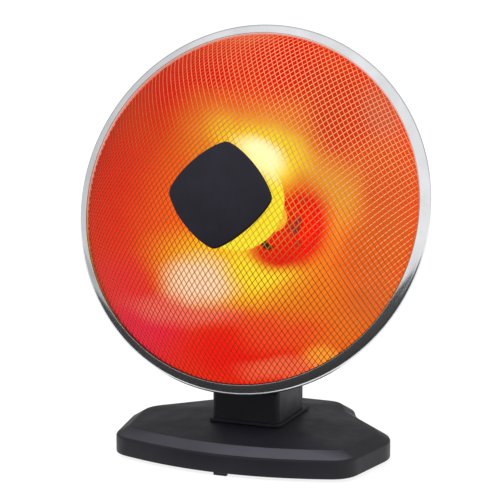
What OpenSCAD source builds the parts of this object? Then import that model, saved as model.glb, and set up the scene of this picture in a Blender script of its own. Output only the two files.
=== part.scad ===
// Parabolic radiant heater on an oscillating stand, in millimetres.
// The origin is on the floor under the neck's turning axis. +Z is up and the dish faces -Y.
// The resting pose is the photographed one: dish tilted back, straight ahead over the base.

/* [Reflector] */
// Radius of the reflector's open mouth
dish_r = 152; // [148:1:156]
// Depth of the reflector from mouth to vertex
dish_depth = 76; // [72:1:80]
// Thickness of the reflector's sheet
dish_sheet = 0.8; // [0.6:0.1:1.2]
// Radius of the flat seat pressed into the middle
seat_r = 34; // [33:1:38]
// Width of the flat flange round the mouth
flange_w = 4.6; // [4.6:0.1:5.2]

/* [Rim band] */
// Width of the bright band seen from the front
rim_w = 8; // [7.6:0.2:10]
// Depth of the band's outer wall
rim_depth = 12; // [10:0.5:16]
// Thickness of the band's sheet
rim_sheet = 1.2; // [0.8:0.1:1.4]

/* [Grille] */
// Height of the wire dome above the mouth
dome_rise = 74.5; // [66:0.5:82]
// Thickness of a grille wire
wire_d = 1.8; // [1.4:0.1:2.2]
// Distance between neighbouring wires
wire_pitch = 13; // [12:0.5:16]
// Angle of both wire families from the horizontal
wire_angle = 57; // [50:1:62]
// Width of the hoop that holds the wire ends
hoop_w = 4.4; // [4.2:0.1:4.8]
// Thickness of the hoop
hoop_h = 3.4; // [3:0.1:4]

/* [Badge plate] */
// Width of the bare badge plate across its side corners
badge_w = 92; // [70:1:100]
// Height of the badge plate across its top and bottom corners
badge_h = 90; // [70:1:100]
// Thickness of the badge plate
badge_t = 1.6; // [1:0.1:2.4]
// Bulge of its sides: 1 is a plain diamond, 2 is an ellipse
badge_bulge = 1.36; // [1.2:0.02:1.6]

/* [Heating element] */
// Radius of the ceramic core
core_r = 8; // [7:0.5:10]
// Length of the ceramic core
core_len = 78; // [76:1:84]
// Thickness of the heating coil's wire
coil_wire = 1.6; // [1.2:0.1:2]
// Turns of the heating coil
coil_turns = 14; // [10:1:16]
// Length of the wound stretch
coil_len = 58; // [52:1:60]
// Radius of the ceramic socket
socket_r = 14; // [13:0.5:15]
// Height of the ceramic socket
socket_h = 14; // [12:0.5:16]
// Radius of the round shield plate
shield_r = 41; // [36:1:46]
// Distance of the shield plate in front of the mouth
shield_out = 28; // [24:1:32]
// Length of the shield spider's bent-back tips
tip_len = 12; // [8:1:16]

/* [Rear housing] */
// Radius of the round housing behind the dish
cup_r = 52; // [50:1:54]
// Length of the housing behind the hub plate
cup_len = 42; // [38:1:50]
// Wall of the housing
cup_wall = 2.2; // [1.8:0.1:3]
// Slope cut on the housing's rear edge
cup_bevel = 8; // [4:1:10]

/* [Tilt hinge] */
// Tilt of the dish at rest, from upright
rest_tilt = 18.7; // [14:0.1:22]
// Hinge axis behind the neck's turning axis
pivot_y = 32; // [30:1:35]
// Height of the hinge axis above the floor
pivot_z = 126; // [124:1:130]
// Hinge axis below the dish's own axis
pivot_drop = 70; // [69:0.5:72]
// Hinge axis behind the mouth
pivot_back = 80; // [79:0.5:82]
// Radius of the hinge bolt
bolt_r = 4; // [3:0.25:4.5]
// Radius of the neck's two ears
ear_r = 14; // [12:0.5:15]
// Thickness of each ear
ear_t = 8; // [6:0.5:10]
// Radius of the head's hinge lug
lug_r = 13; // [11:0.5:14]
// Width of the head's hinge lug
lug_w = 24.4; // [20:0.2:26]
// Thickness of each friction washer
washer_t = 1; // [0.6:0.1:1.6]

/* [Neck] */
// Width of the neck
neck_w = 62; // [58:1:66]
// Depth of the neck's upright block
neck_d = 64; // [62:1:66]
// Turning axis behind the middle of the neck
axis_back = 4; // [2:0.5:5]
// Rounding of the neck's upright corners
neck_round = 6; // [4:0.5:8]
// Wall of the neck's shells
neck_wall = 2.5; // [2:0.1:3]
// Height of the neck's front face above its foot
front_rise = 24; // [22:1:26]
// Height of the neck's rear face above its foot
rear_rise = 54; // [52:1:58]
// Height of the neck's roof above its foot
roof_rise = 74; // [72:1:76]

/* [Swivel] */
// Width of the swivel plate under the neck
plate_w = 67; // [66:0.5:72]
// Thickness of the swivel plate
plate_t = 2.4; // [2.2:0.1:3]
// How far the swivel plate shows behind the neck
plate_tail = 10; // [6:1:14]
// Radius of the swivel tube
hub_r = 15; // [14:0.5:16]
// Radius of the wire passage through the swivel tube
hub_bore = 9; // [7:0.5:9.5]
// Thickness of the slip washer under the swivel plate
slip_t = 0.5; // [0.4:0.1:0.6]

/* [Swivel drive] */
// Tooth size of the drive gears
gear_module = 1; // [0.96:0.01:1.04]
// Teeth a full sector wheel would have
sector_teeth = 72; // [70:1:74]
// Teeth of the motor pinion
pinion_teeth = 18; // [17:1:18]
// Thickness of both gears
gear_t = 5; // [4:0.5:5]
// Radius of the oscillation motor
motor_r = 25; // [22:0.5:26]
// Height of the oscillation motor
motor_h = 15; // [12:0.5:15]
// Swing of the neck to each side, in degrees
swing = 35; // [20:1:38]

/* [Base] */
// Width of the base across its side corners, before they are rounded
base_w = 245; // [239:1:252]
// Base in front of the turning axis
base_front = 94; // [90:1:98]
// Base behind the turning axis
base_rear = 97; // [95:1:102]
// Width across the front corners
front_w = 217; // [211:1:222]
// How far the front edge bows forward
front_bow = 22; // [17:1:25]
// Height of the upright edge above the bottom plate's underside
side_h = 15.5; // [15:0.5:18]
// Height of the sloping band above the upright edge
bevel_h = 7; // [6:0.5:8]
// Width of the sloping band
bevel_w = 11.5; // [10:0.5:13]
// Rise of the deck from the band to the neck
deck_rise = 5.5; // [5:0.5:8]
// Wall of the base cover
base_wall = 2.5; // [2:0.1:3]
// Thickness of the bottom plate
bottom_t = 2; // [1.6:0.1:2.4]

/* [Feet and tip-over switch] */
// Radius of a rubber foot
foot_r = 9; // [7:0.5:11]
// Height of a rubber foot
foot_h = 3; // [2.5:0.1:4]
// Width of the tip-over plunger
plunger_w = 12; // [9:0.5:14]
// Travel of the tip-over plunger
plunger_travel = 3; // [2:0.5:3]

/* [Controls] */
// Radius of the heat knob
knob_r = 14.5; // [12:0.5:15]
// Depth of the heat knob
knob_h = 11; // [9:0.5:14]
// Radius of the oscillation button's cap
button_r = 5.5; // [5:0.25:6]
// Travel of the oscillation button
button_travel = 3; // [2:0.5:3]

/* [Cord inlet] */
// Radius of the cord gland's bore
gland_bore = 3.7; // [3:0.1:4]
// Length of the cord gland
gland_len = 18; // [16:1:20]

/* [Hidden] */
$fn = 64;

// Clearances and small fixed sizes
eps = 0.01;             // cuts reach this far past the faces they open
run_gap = 0.05;         // radial clearance of a shaft that turns or slides
seat_gap = 0.1;         // clearance of pieces that sit in or on each other
move_gap = 0.3;         // clearance beside pieces that swing
screw_r = 1.4;          // shank of every small screw
screw_hole_r = 1.45;
screw_head_r = 2.9;
screw_head_h = 1.6;
screw_len = 9;
boss_r = 4;             // screw boss
deck_overlap = 1;       // posts and bosses under the deck reach this far into it

// Heights in the stand, from the floor up
bottom_z = foot_h;
floor_z = bottom_z + bottom_t;
edge_z = bottom_z + side_h;
bevel_z = edge_z + bevel_h;
deck_z = bevel_z + deck_rise;
under_deck_z = deck_z - base_wall;
swivel_z = deck_z + slip_t + seat_gap;
foot_z = swivel_z + plate_t;

// Base outline: corners as [x, y, length of the blend on both sides], anticlockwise from the front
corner_y = -(base_front - front_bow);
bow_share = 0.8;        // share of the front edge that the bow takes
bow_y = (-base_front - bow_share/2*corner_y)/(1 - bow_share/2);
bow_blend = bow_share*norm([front_w/2, corner_y - bow_y]);
notch = [67, 64, 9];    // where the rear part meets the slanted sides
tail_x = 52;            // half width of the rear part
base_half = [
    [front_w/2, corner_y, 16], [base_w/2, 9, 20], notch, [tail_x, base_rear, 20]
];
base_corners = concat(
    [[0, bow_y, bow_blend]], base_half,
    [for (i = [len(base_half) - 1:-1:0]) [-base_half[i][0], base_half[i][1], base_half[i][2]]]
);
deck_middle = [0, (base_rear - base_front)/2];
deck_share = 0.5;       // size of the level deck against the band's inner edge
blend_steps = 8;

// Places in the base
foot_in = [20.5, 23];       // front feet, from the front corners
rear_foot_in = [8, 20];     // rear feet, from the rear corners
foot_at = [[front_w/2 - foot_in[0], corner_y + foot_in[1]],
    [tail_x - rear_foot_in[0], base_rear - rear_foot_in[1]]];
foot_spots = [for (p = foot_at, side = [1, -1]) [side*p[0], p[1]]];
side_screw_in = 24.5;       // side screws, from the side corners
side_screw_y = -21;
notch_screw_in = [15, 23];  // screws in front of the notches
rear_screw_x = 18;
base_screw_at = [[base_w/2 - side_screw_in, side_screw_y], [notch[0], notch[1]] - notch_screw_in,
    [rear_screw_x, base_rear - rear_foot_in[1]]];
base_screw_spots = [for (p = base_screw_at, side = [1, -1]) [side*p[0], p[1]]];
bearing_r = 12;         // lower journal of the swivel tube
bearing_h = 6;
bearing_wall = 5;
tube_gap = 1.5;         // between the swivel tube's shoulder and the lower bearing
ring_groove = 1;        // depth of the retaining ring's groove
ring_t = 1;
ring_step = 3.2;        // how far the ring stands out from the journal
sleeve_wall = 5;        // upper bearing under the deck
gear_gap = 0.4;         // between the sector gear and the upper bearing
gear_drop = 1.7;        // gears below the deck's underside
gear_z = under_deck_z - gear_drop - gear_t;
gear_centres = gear_module*(sector_teeth + pinion_teeth)/2;
sector_half = 45;       // half angle of the sector
gear_hub = 4.5;         // wall of the sector gear's hub
stop_r = 2.5;           // stop post
stop_at = 30;           // distance of a stop post from the turning axis
stop_clear = 3.5;       // degrees left between sector and post at full swing
stop_angle = sector_half + swing + asin(stop_r/stop_at) + stop_clear;
motor_shaft_r = 3.5;
motor_ear = motor_r + 4.5;
motor_ear_r = 4;
motor_ear_t = 1;
pinion_tip_z = floor_z + 4;     // lower end of the pinion's shaft
gland_z = bottom_z + 8.5;
gland_wall = 1.3;
gland_lip = 0.6;        // step of the gland's two shoulders
gland_lip_t = 2;
gland_r = gland_bore + gland_wall;
gland_lip_r = gland_r + gland_lip;
gland_in = 8;           // length of the gland inside the wall
ballast_size = [88, 22, 6];
ballast_front = 46;
block_at = [62, -14];   // terminal block: front left corner, size and ways
block_size = [18, 40, 13];
block_ways = 4;
block_pitch = 8;
block_wire_r = 1.8;
block_wire_z = 5;
block_screw_r = 1.5;

// Tip-over switch
plunger_y = -(base_front - base_wall - move_gap);
plunger_t = 4;
arm_z = floor_z + plunger_travel;
arm_t = 3;
switch_front = plunger_y + plunger_t + 4;
switch_len = 18;
switch_w = 22;
switch_h = 16;
spring_y = switch_front + 8;
spring_coil_r = 2.3;
spring_wire = 0.7;
spring_turns = 5;
spring_top = floor_z + switch_h - 1.6;

// Neck: side outline from the foot, front to rear
neck_front = -neck_d/2 - axis_back;
neck_rear = neck_d/2 - axis_back;
split_y = 1;            // the two shells meet here
roof_front = 17;
roof_rear = 45;
roof_z = foot_z + roof_rise;
shoulder_z = roof_z - 14;
neck_outline = [
    [neck_front, foot_z], [neck_front, foot_z + front_rise], [split_y, shoulder_z],
    [roof_front, roof_z], [roof_rear, roof_z], [roof_rear, roof_z - 5],
    [neck_rear, foot_z + rear_rise], [neck_rear, foot_z]
];
neck_screw_x = neck_w/2 - neck_wall - boss_r + 0.5;
neck_screw_len = 17;
neck_screw_z = [foot_z + 19, foot_z + 39];
swivel_screw_y = [neck_front + 11.5, neck_rear - 11.5];
knob_z = foot_z + 37;
button_z = foot_z + 12;
switch_bush_r = 4.9;
switch_bush_out = 2.6;  // how far the bush stands out of the neck
switch_nut_h = 2;
switch_nut_r = 7.5;
switch_shaft_r = 3;
shaft_in = 9;           // both shafts reach this far into their switches
knob_gap = 0.6;         // between the neck and the knob's skirt
knob_skirt = 3;
button_bush_r = 5.2;
button_bush_out = 0.8;
button_stem_r = 3.6;
ear_gap = lug_w/2 + washer_t + 2*seat_gap;
ear_out = ear_gap + ear_t;
nut_r = 1.6*bolt_r;
nut_h = 6;
bolt_head_h = 5;

// Head: places along the dish's own axis, with the mouth at 0 and +Z out of the dish
function dish_z(r) = -dish_depth*(1 - pow(max(r, seat_r)/dish_r, 2));
seat_z = dish_z(0);
hub_t = 1.5;
hub_r2 = 44;            // radius of the hub plate
hub_back = seat_z - dish_sheet - seat_gap/2 - hub_t;
spigot_r = 11;
hub_screw_at = 27;
hub_screw_angles = [45:90:315];
hub_screw_r = 2;
hub_hole_r = hub_screw_r + seat_gap;
bracket_t = 2.2;
bracket_w = 52;
bracket_back = hub_back - bracket_t;
cup_back = hub_back - cup_len;
cup_front = dish_z(cup_r - cup_wall) - dish_sheet - 0.2;
post_at = 38;           // posts that the rear housing is screwed to
housing_screw_len = 12;
post_r = 3.6;
post_angles = [30, 90, 150];
cutout_r = 8;           // thermal cut-out
cutout_y = post_at - post_r - cutout_r - 1.4;
rim_r = dish_r + rim_w;
rim_front = hoop_h + 2*seat_gap + rim_sheet;
hoop_r = dish_r - 1.4;
dome_edge_r = hoop_r + 0.15;    // the dome meets the hoop here, inside the band's lip
dome_edge_z = seat_gap + hoop_h/2;
dome_h = dome_rise - dome_edge_z;
dome_r = (pow(dome_edge_r, 2) + pow(dome_h, 2))/(2*dome_h);
dome_z = dome_rise - dome_r;
layer_gap = 0.1;        // between the two wire layers
wire_end_z = seat_gap + wire_d/2;
wire_count = floor((hoop_r - 6)/wire_pitch);
core_z = seat_z + socket_h;
socket_lip = 6;
socket_lip_t = 4;
socket_tail = 6;        // length of the socket behind the hub plate
core_bore = 2.6;
rod_r = 2;
rod_nut_h = 3;
terminal_r = 1.6;
terminal_x = 6.5;
terminal_in = 3;        // terminals reach this far into the core
collar_r = core_r + 4;  // collars at the core's ends
collar_h = 3;
coil_at = core_r + coil_wire/2 + 0.2;
coil_z = core_z + (core_len - coil_len)/2;
coil_bend = 2;
coil_tail = coil_wire;
shield_t = 1;
spider_t = 1.2;
spider_w = 5;
spider_hub_r = 9;
spider_hub_drop = 0.3;  // pressed hub of the spider, behind its arms
tip_at = shield_r + 5;
spider_angles = [-50, 70, 190];

// Geometry helpers

function unit(v) = v/norm(v);
function flat(lists) = [for (list = lists, item = list) item];
function at(list, i) = list[(i + len(list)) % len(list)];
function xy(v) = [v[0], v[1]];

// Curve that rounds the corner v between its neighbours a and b
function blend(a, v, b, length) =
    let (p = v + length*unit(a - v), q = v + length*unit(b - v))
    [for (k = [0:blend_steps])
        let (s = k/blend_steps) pow(1 - s, 2)*p + 2*s*(1 - s)*v + s*s*q];

// Closed outline through all the corners, rounded
function rounded(corners) = flat([
    for (i = [0:len(corners) - 1])
        blend(xy(at(corners, i - 1)), xy(corners[i]), xy(at(corners, i + 1)), corners[i][2])
]);

// The same outline moved inwards by d
function inset(list, d) = [
    for (i = [0:len(list) - 1])
        let (t = unit(at(list, i + 1) - at(list, i - 1))) list[i] - d*[t[1], -t[0]]
];

function shrunk(list, share) = [for (p = list) deck_middle + share*(p - deck_middle)];
function lifted(list, z) = [for (p = list) [p[0], p[1], z]];

// Skin between equal rings of points, closed by its first and last rings
module skin(rings) {
    n = len(rings[0]);
    last = len(rings) - 1;
    polyhedron(
        points = flat(rings),
        faces = concat(
            [[for (i = [0:n - 1]) i]],
            [[for (i = [n - 1:-1:0]) last*n + i]],
            flat([for (k = [0:last - 1], i = [0:n - 1])
                let (a = k*n + i, b = k*n + (i + 1) % n) [[a, a + n, b], [b, a + n, b + n]]])
        )
    );
}

module tube(r_out, r_in, h) {
    difference() {
        cylinder(r = r_out, h = h);
        translate([0, 0, -eps]) cylinder(r = r_in, h = h + 2*eps);
    }
}

module rounded_box(width, front, rear, round, h) {
    linear_extrude(h) {
        translate([-width/2 + round, front]) square([width - 2*round, rear - front]);
        translate([-width/2, front + round]) square([width, rear - front - 2*round]);
        for (x = [-1, 1] * (width/2 - round), y = [front + round, rear - round])
            translate([x, y]) circle(r = round);
    }
}

// Small pan-head screw: head at the origin, shank towards -Z
module screw(length) {
    cylinder(r = screw_head_r, h = screw_head_h);
    translate([0, 0, -length]) cylinder(r = screw_r, h = length + eps);
}

// Puts the head's own frame (mouth at 0, +Z out of the dish) on the hinge
module on_head() {
    translate([0, pivot_y, pivot_z])
        rotate([90 - rest_tilt, 0, 0])
            translate([0, pivot_drop, pivot_back])
                children();
}

// Turns a shape drawn along +Z to point along +Y, with its own Y up
module along_y() {
    rotate([-90, 0, 0]) children();
}

module along_x() {
    rotate([0, 90, 0]) children();
}

// ---- Base ----

base_outline = rounded(base_corners);

// Outer faces of the cover, from the bottom to the level deck
cover_rings =
    let (edge = inset(base_outline, bevel_w))
    [
        lifted(base_outline, bottom_z),
        lifted(base_outline, edge_z),
        lifted(edge, bevel_z),
        lifted(shrunk(edge, deck_share), deck_z)
    ];
// Its cavity, in the same order
cavity_rings =
    let (
        inner = inset(base_outline, base_wall),
        inner_edge = inset(base_outline, bevel_w + base_wall/2)
    )
    [
        lifted(inner, bottom_z - 1),
        lifted(inner, edge_z - base_wall/3),
        lifted(inner_edge, bevel_z - base_wall),
        lifted(shrunk(inner_edge, deck_share), under_deck_z)
    ];

module base_cover() {
    color([0.13, 0.13, 0.15])
        difference() {
            union() {
                difference() {
                    skin(cover_rings);
                    skin(cavity_rings);
                }
                for (p = base_screw_spots)
                    translate([p[0], p[1], floor_z]) cylinder(r = boss_r, h = bevel_z - deck_overlap - floor_z);
                translate([0, 0, gear_z + gear_t + gear_gap])
                    cylinder(r = hub_r + sleeve_wall, h = deck_z - gear_z - gear_t - gear_gap - deck_overlap);
                for (side = [-1, 1])
                    rotate([0, 0, 180 + side*stop_angle])
                        translate([stop_at, 0, gear_z])
                            cylinder(r = stop_r, h = deck_z - gear_z - deck_overlap);
            }
            translate([0, 0, gear_z]) cylinder(r = hub_r + run_gap, h = deck_z);
            for (p = base_screw_spots)
                translate([p[0], p[1], floor_z - eps]) cylinder(r = screw_hole_r, h = screw_len + 3);
            translate([0, base_rear - 2*base_wall, gland_z])
                along_y() cylinder(r = gland_r + run_gap, h = 4*base_wall);
        }
}

module base_plate() {
    color([0.16, 0.16, 0.17])
        difference() {
            union() {
                translate([0, 0, bottom_z])
                    linear_extrude(bottom_t) polygon(inset(base_outline, base_wall + seat_gap));
                translate([0, 0, floor_z - eps]) cylinder(r = bearing_r + bearing_wall, h = bearing_h);
                for (y = [-1, 1] * motor_ear)
                    translate([-gear_centres, y, floor_z - eps])
                        cylinder(r = boss_r - 0.8, h = motor_h - motor_ear_t);
            }
            translate([0, 0, bottom_z - eps]) cylinder(r = bearing_r + run_gap, h = 20);
            translate([0, 0, bottom_z - eps]) cylinder(r = bearing_r + ring_step + 1, h = bottom_t);
            for (y = [-1, 1] * motor_ear)
                translate([-gear_centres, y, floor_z + 2]) cylinder(r = screw_hole_r, h = motor_h);
            for (p = base_screw_spots) translate([p[0], p[1], 0]) cylinder(r = screw_hole_r, h = 10);
            for (p = foot_spots) translate([p[0], p[1], 0]) cylinder(r = foot_r/3 + run_gap, h = 10);
            translate([-plunger_w/2 - move_gap, -base_front, 0])
                cube([plunger_w + 2*move_gap, base_front + plunger_y + plunger_t + move_gap, 10]);
        }
}

module ballast_plate() {
    color([0.45, 0.45, 0.47])
        translate([-ballast_size[0]/2, ballast_front, floor_z]) cube(ballast_size);
}

module rubber_feet() {
    color([0.08, 0.08, 0.08])
        for (p = foot_spots)
            translate([p[0], p[1], 0]) {
                cylinder(r = foot_r, h = foot_h);
                cylinder(r = foot_r/3, h = floor_z + 1.5);
            }
}

module base_screws() {
    color([0.7, 0.7, 0.72])
        for (p = base_screw_spots)
            translate([p[0], p[1], bottom_z]) mirror([0, 0, 1]) screw(bottom_t + screw_len);
}

module oscillation_motor() {
    color([0.75, 0.76, 0.78])
        translate([-gear_centres, 0, floor_z])
            difference() {
                union() {
                    cylinder(r = motor_r, h = motor_h);
                    translate([-motor_ear_r, -motor_ear, motor_h - motor_ear_t])
                        cube([2*motor_ear_r, 2*motor_ear, motor_ear_t]);
                    for (y = [-1, 1] * motor_ear)
                        translate([0, y, motor_h - motor_ear_t])
                            cylinder(r = motor_ear_r, h = motor_ear_t);
                }
                translate([0, 0, pinion_tip_z - floor_z - 1])
                    cylinder(r = motor_shaft_r + run_gap, h = motor_h);
                for (y = [-1, 1] * motor_ear)
                    translate([0, y, 0]) cylinder(r = screw_r + move_gap, h = motor_h + 1);
            }
}

module motor_screws() {
    color([0.7, 0.7, 0.72])
        for (y = [-1, 1] * motor_ear)
            translate([-gear_centres, y, floor_z + motor_h]) screw(screw_len);
}

// Involute gears: half angle of a tooth at radius r, with the teeth thinned for backlash
pressure = 20;
addendum = 0.85*gear_module;
dedendum = 1.25*gear_module;
backlash = 0.24*gear_module;
function roll(a) = tan(a) - a*PI/180;
function tooth_half(r, pitch_r, teeth) =
    let (base_r = pitch_r*cos(pressure))
    90/teeth - (backlash/4)/pitch_r*180/PI
    + (roll(pressure) - roll(acos(min(1, base_r/r))))*180/PI;
function tooth(teeth, angle) =
    let (pitch_r = gear_module*teeth/2, low = pitch_r - dedendum, high = pitch_r + addendum, n = 5)
    concat(
        [for (k = [0:n])
            let (r = low + (high - low)*k/n) r*[
                cos(angle - tooth_half(r, pitch_r, teeth)), sin(angle - tooth_half(r, pitch_r, teeth))
            ]],
        [for (k = [n:-1:0])
            let (r = low + (high - low)*k/n) r*[
                cos(angle + tooth_half(r, pitch_r, teeth)), sin(angle + tooth_half(r, pitch_r, teeth))
            ]]
    );

module motor_pinion() {
    color([0.92, 0.9, 0.84])
        translate([-gear_centres, 0, 0]) {
            translate([0, 0, gear_z])
                linear_extrude(gear_t)
                    polygon(flat([for (i = [0:pinion_teeth - 1])
                        tooth(pinion_teeth, (i + 0.5)*360/pinion_teeth)]));
            translate([0, 0, pinion_tip_z])
                cylinder(r = motor_shaft_r, h = gear_z + gear_t - pinion_tip_z);
        }
}

module sector_gear() {
    step = 360/sector_teeth;
    half_teeth = floor(sector_half/step);
    color([0.92, 0.9, 0.84])
        translate([0, 0, gear_z])
            difference() {
                linear_extrude(gear_t) {
                    polygon(concat([[0, 0]], flat([for (i = [-half_teeth:half_teeth])
                        tooth(sector_teeth, 180 + i*step)])));
                        circle(r = hub_r + gear_hub);
                }
                translate([0, 0, -eps]) cylinder(r = hub_r + run_gap, h = gear_t + 2*eps);
            }
}

module slip_washer() {
    color([0.9, 0.9, 0.88])
        translate([0, 0, deck_z]) tube(hub_r + 11, hub_r + 1, slip_t);
}

module tip_switch() {
    color([0.2, 0.2, 0.22])
        translate([-switch_w/2, switch_front, floor_z])
            difference() {
                cube([switch_w, switch_len, switch_h]);
                translate([switch_w/2 - plunger_w/3 - move_gap, -eps, -eps])
                    cube([2*plunger_w/3 + 2*move_gap, spring_y - switch_front + 4.5,
                          plunger_travel + arm_t + move_gap]);
                translate([switch_w/2, spring_y - switch_front, 0])
                    cylinder(r = spring_coil_r + spring_wire, h = spring_top - floor_z);
            }
}

module tip_plunger() {
    color([0.1, 0.1, 0.11]) {
        translate([-plunger_w/2, plunger_y, 0]) cube([plunger_w, plunger_t, arm_z + arm_t]);
        translate([-plunger_w/3, plunger_y, arm_z])
            cube([2*plunger_w/3, spring_y - plunger_y + 4, arm_t]);
    }
}

// Compression spring between the plunger's arm and the switch
spring_base = arm_z + arm_t + spring_wire/2 + seat_gap;
spring_end = spring_top - seat_gap - spring_wire/2;
spring_path = [
    for (i = [0:spring_turns*8])
        [spring_coil_r*cos(i*45), spring_coil_r*sin(i*45),
         spring_base + (spring_end - spring_base)*i/(spring_turns*8)]
];

// Round wire of n sides along a path that winds about the Z axis: each ring's first axis is radial
module wire_along(path, r, n) {
    last = len(path) - 1;
    rings = [for (i = [0:last])
        let (
            ahead = unit(path[min(i + 1, last)] - path[max(i - 1, 0)]),
            out = unit([path[i][0], path[i][1], 0]),
            side = unit(cross(ahead, out)),
            up = cross(side, ahead)
        )
        [for (k = [0:n - 1]) path[i] + r*(cos(360*k/n)*up + sin(360*k/n)*side)]];
    skin([for (ring = rings) [for (k = [n - 1:-1:0]) ring[k]]]);
}

module tip_spring() {
    color([0.75, 0.75, 0.78])
        translate([0, spring_y, 0]) wire_along(spring_path, spring_wire/2, 6);
}

module cord_gland() {
    color([0.1, 0.1, 0.1])
        translate([0, base_rear + gland_len - gland_in, gland_z])
            rotate([90, 0, 0])
                difference() {
                    union() {
                        cylinder(r = gland_r, h = gland_len);
                        cylinder(r1 = gland_r + 0.2, r2 = gland_lip_r, h = gland_len - gland_in - seat_gap);
                        translate([0, 0, gland_len - gland_in + base_wall + seat_gap])
                            cylinder(r = gland_lip_r, h = gland_lip_t);
                    }
                    translate([0, 0, -eps]) cylinder(r = gland_bore, h = gland_len + 2*eps);
                }
}

module terminal_block() {
    color([0.88, 0.88, 0.84])
        translate([block_at[0], block_at[1], floor_z])
            difference() {
                cube(block_size);
                for (i = [1:block_ways])
                    translate([0, i*block_pitch, block_wire_z]) {
                        translate([-eps, 0, 0]) along_x()
                            cylinder(r = block_wire_r, h = 2*block_size[0]);
                        translate([block_size[0]/2, 0, 1])
                            cylinder(r = block_screw_r, h = block_size[2]);
                    }
            }
}

// ---- Swivel and neck ----

module swivel_plate() {
    color([0.15, 0.15, 0.16])
        difference() {
            union() {
                translate([0, 0, swivel_z])
                    rounded_box(plate_w, neck_front - (plate_w - neck_w)/2, neck_rear + plate_tail,
                                neck_round, plate_t);
                translate([0, 0, floor_z + bearing_h + tube_gap])
                    cylinder(r = hub_r, h = swivel_z - floor_z - bearing_h - tube_gap + eps);
                translate([0, 0, bottom_z + move_gap])
                    cylinder(r = bearing_r, h = bottom_t + bearing_h + tube_gap);
            }
            cylinder(r = hub_bore, h = 100);
            translate([0, 0, floor_z - seat_gap - ring_t])
                tube(bearing_r + 2, bearing_r - ring_groove, ring_t);
            for (x = [-1, 1] * neck_screw_x, y = swivel_screw_y)
                translate([x, y, swivel_z - eps]) {
                    cylinder(r = screw_hole_r, h = 10);
                    cylinder(r = screw_head_r + seat_gap, h = screw_head_h + 0.1);
                }
        }
}

module swivel_screws() {
    color([0.7, 0.7, 0.72])
        for (x = [-1, 1] * neck_screw_x, y = swivel_screw_y)
            translate([x, y, swivel_z + screw_head_h]) mirror([0, 0, 1]) screw(screw_len);
}

module retaining_ring() {
    color([0.6, 0.6, 0.62])
        translate([0, 0, floor_z - seat_gap - ring_t + run_gap])
            tube(bearing_r + ring_step, bearing_r - ring_groove + run_gap, ring_t - 2*run_gap);
}

// Solid neck, or its cavity when inset by the wall
module neck_block(wall) {
    intersection() {
        translate([-neck_w/2 + wall, 0, 0])
            rotate([90, 0, 90])
                linear_extrude(neck_w - 2*wall) offset(delta = -wall) polygon(neck_outline);
        union() {
            translate([0, 0, foot_z - 5])
                rounded_box(neck_w - 2*wall, neck_front + wall, neck_rear - wall,
                            neck_round - wall, rear_rise + 5);
            translate([0, 0, foot_z + rear_rise - eps])
                rounded_box(neck_w - 2*wall, neck_front + wall, roof_rear - wall,
                            neck_round - wall, roof_rise);
        }
    }
}

// Hollow neck, open at its foot
module neck_walls() {
    difference() {
        neck_block(0);
        neck_block(neck_wall);
        translate([0, 0, foot_z - eps])
            rounded_box(neck_w - 2*neck_wall, neck_front + neck_wall, neck_rear - neck_wall,
                        neck_round - neck_wall, neck_wall + 1);
    }
}

module front_half() {
    intersection() {
        children();
        translate([-100, -100, 0]) cube([200, 100 + split_y, 200]);
    }
}

module rear_half() {
    intersection() {
        children();
        translate([-100, split_y, 0]) cube([200, 100, 200]);
    }
}

module neck_front_shell() {
    color([0.12, 0.12, 0.13])
        difference() {
            union() {
                front_half() neck_walls();
                for (x = [-1, 1] * neck_screw_x) {
                    for (z = neck_screw_z)
                        translate([x, split_y - 10, z]) along_y() cylinder(r = boss_r, h = 10);
                    translate([x, swivel_screw_y[0], foot_z]) cylinder(r = boss_r, h = 11);
                }
            }
            for (x = [-1, 1] * neck_screw_x) {
                for (z = neck_screw_z)
                    translate([x, split_y - 9, z]) along_y() cylinder(r = screw_hole_r, h = 10);
                translate([x, swivel_screw_y[0], foot_z - eps]) cylinder(r = screw_hole_r, h = 9);
            }
        }
}

module ear() {
    rotate([90, 0, 90])
        linear_extrude(ear_t) {
            translate([pivot_y, pivot_z]) circle(r = ear_r);
            translate([pivot_y - ear_r, roof_z - neck_wall/2])
                square([2*ear_r, pivot_z - roof_z + neck_wall/2]);
        }
}

module neck_rear_shell() {
    color([0.12, 0.12, 0.13])
        difference() {
            union() {
                rear_half() neck_walls();
                for (x = [ear_gap, -ear_out]) translate([x, 0, 0]) ear();
                for (x = [-1, 1] * neck_screw_x) {
                    for (z = neck_screw_z)
                        translate([x, split_y, z]) along_y() cylinder(r = boss_r, h = neck_rear - split_y - 1);
                    translate([x, swivel_screw_y[1], foot_z]) cylinder(r = boss_r, h = 11);
                }
            }
            translate([-ear_out - 1, pivot_y, pivot_z])
                along_x() cylinder(r = bolt_r + run_gap, h = 2*ear_out + 2);
            for (x = [-1, 1] * neck_screw_x) {
                for (z = neck_screw_z)
                    translate([x, split_y, z]) along_y() {
                        translate([0, 0, -eps]) cylinder(r = screw_hole_r, h = 40);
                        translate([0, 0, 10]) cylinder(r = screw_head_r + 0.3, h = 40);
                    }
                translate([x, swivel_screw_y[1], foot_z - eps]) cylinder(r = screw_hole_r, h = 9);
            }
            translate([0, 0, knob_z]) along_y() cylinder(r = switch_bush_r + run_gap, h = 60);
            translate([0, 0, button_z]) along_y() cylinder(r = button_bush_r + run_gap, h = 60);
        }
}

module neck_screws() {
    color([0.7, 0.7, 0.72])
        for (x = [-1, 1] * neck_screw_x, z = neck_screw_z)
            translate([x, split_y + 10, z]) along_y() screw(neck_screw_len);
}

inner_rear = neck_rear - neck_wall;

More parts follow.
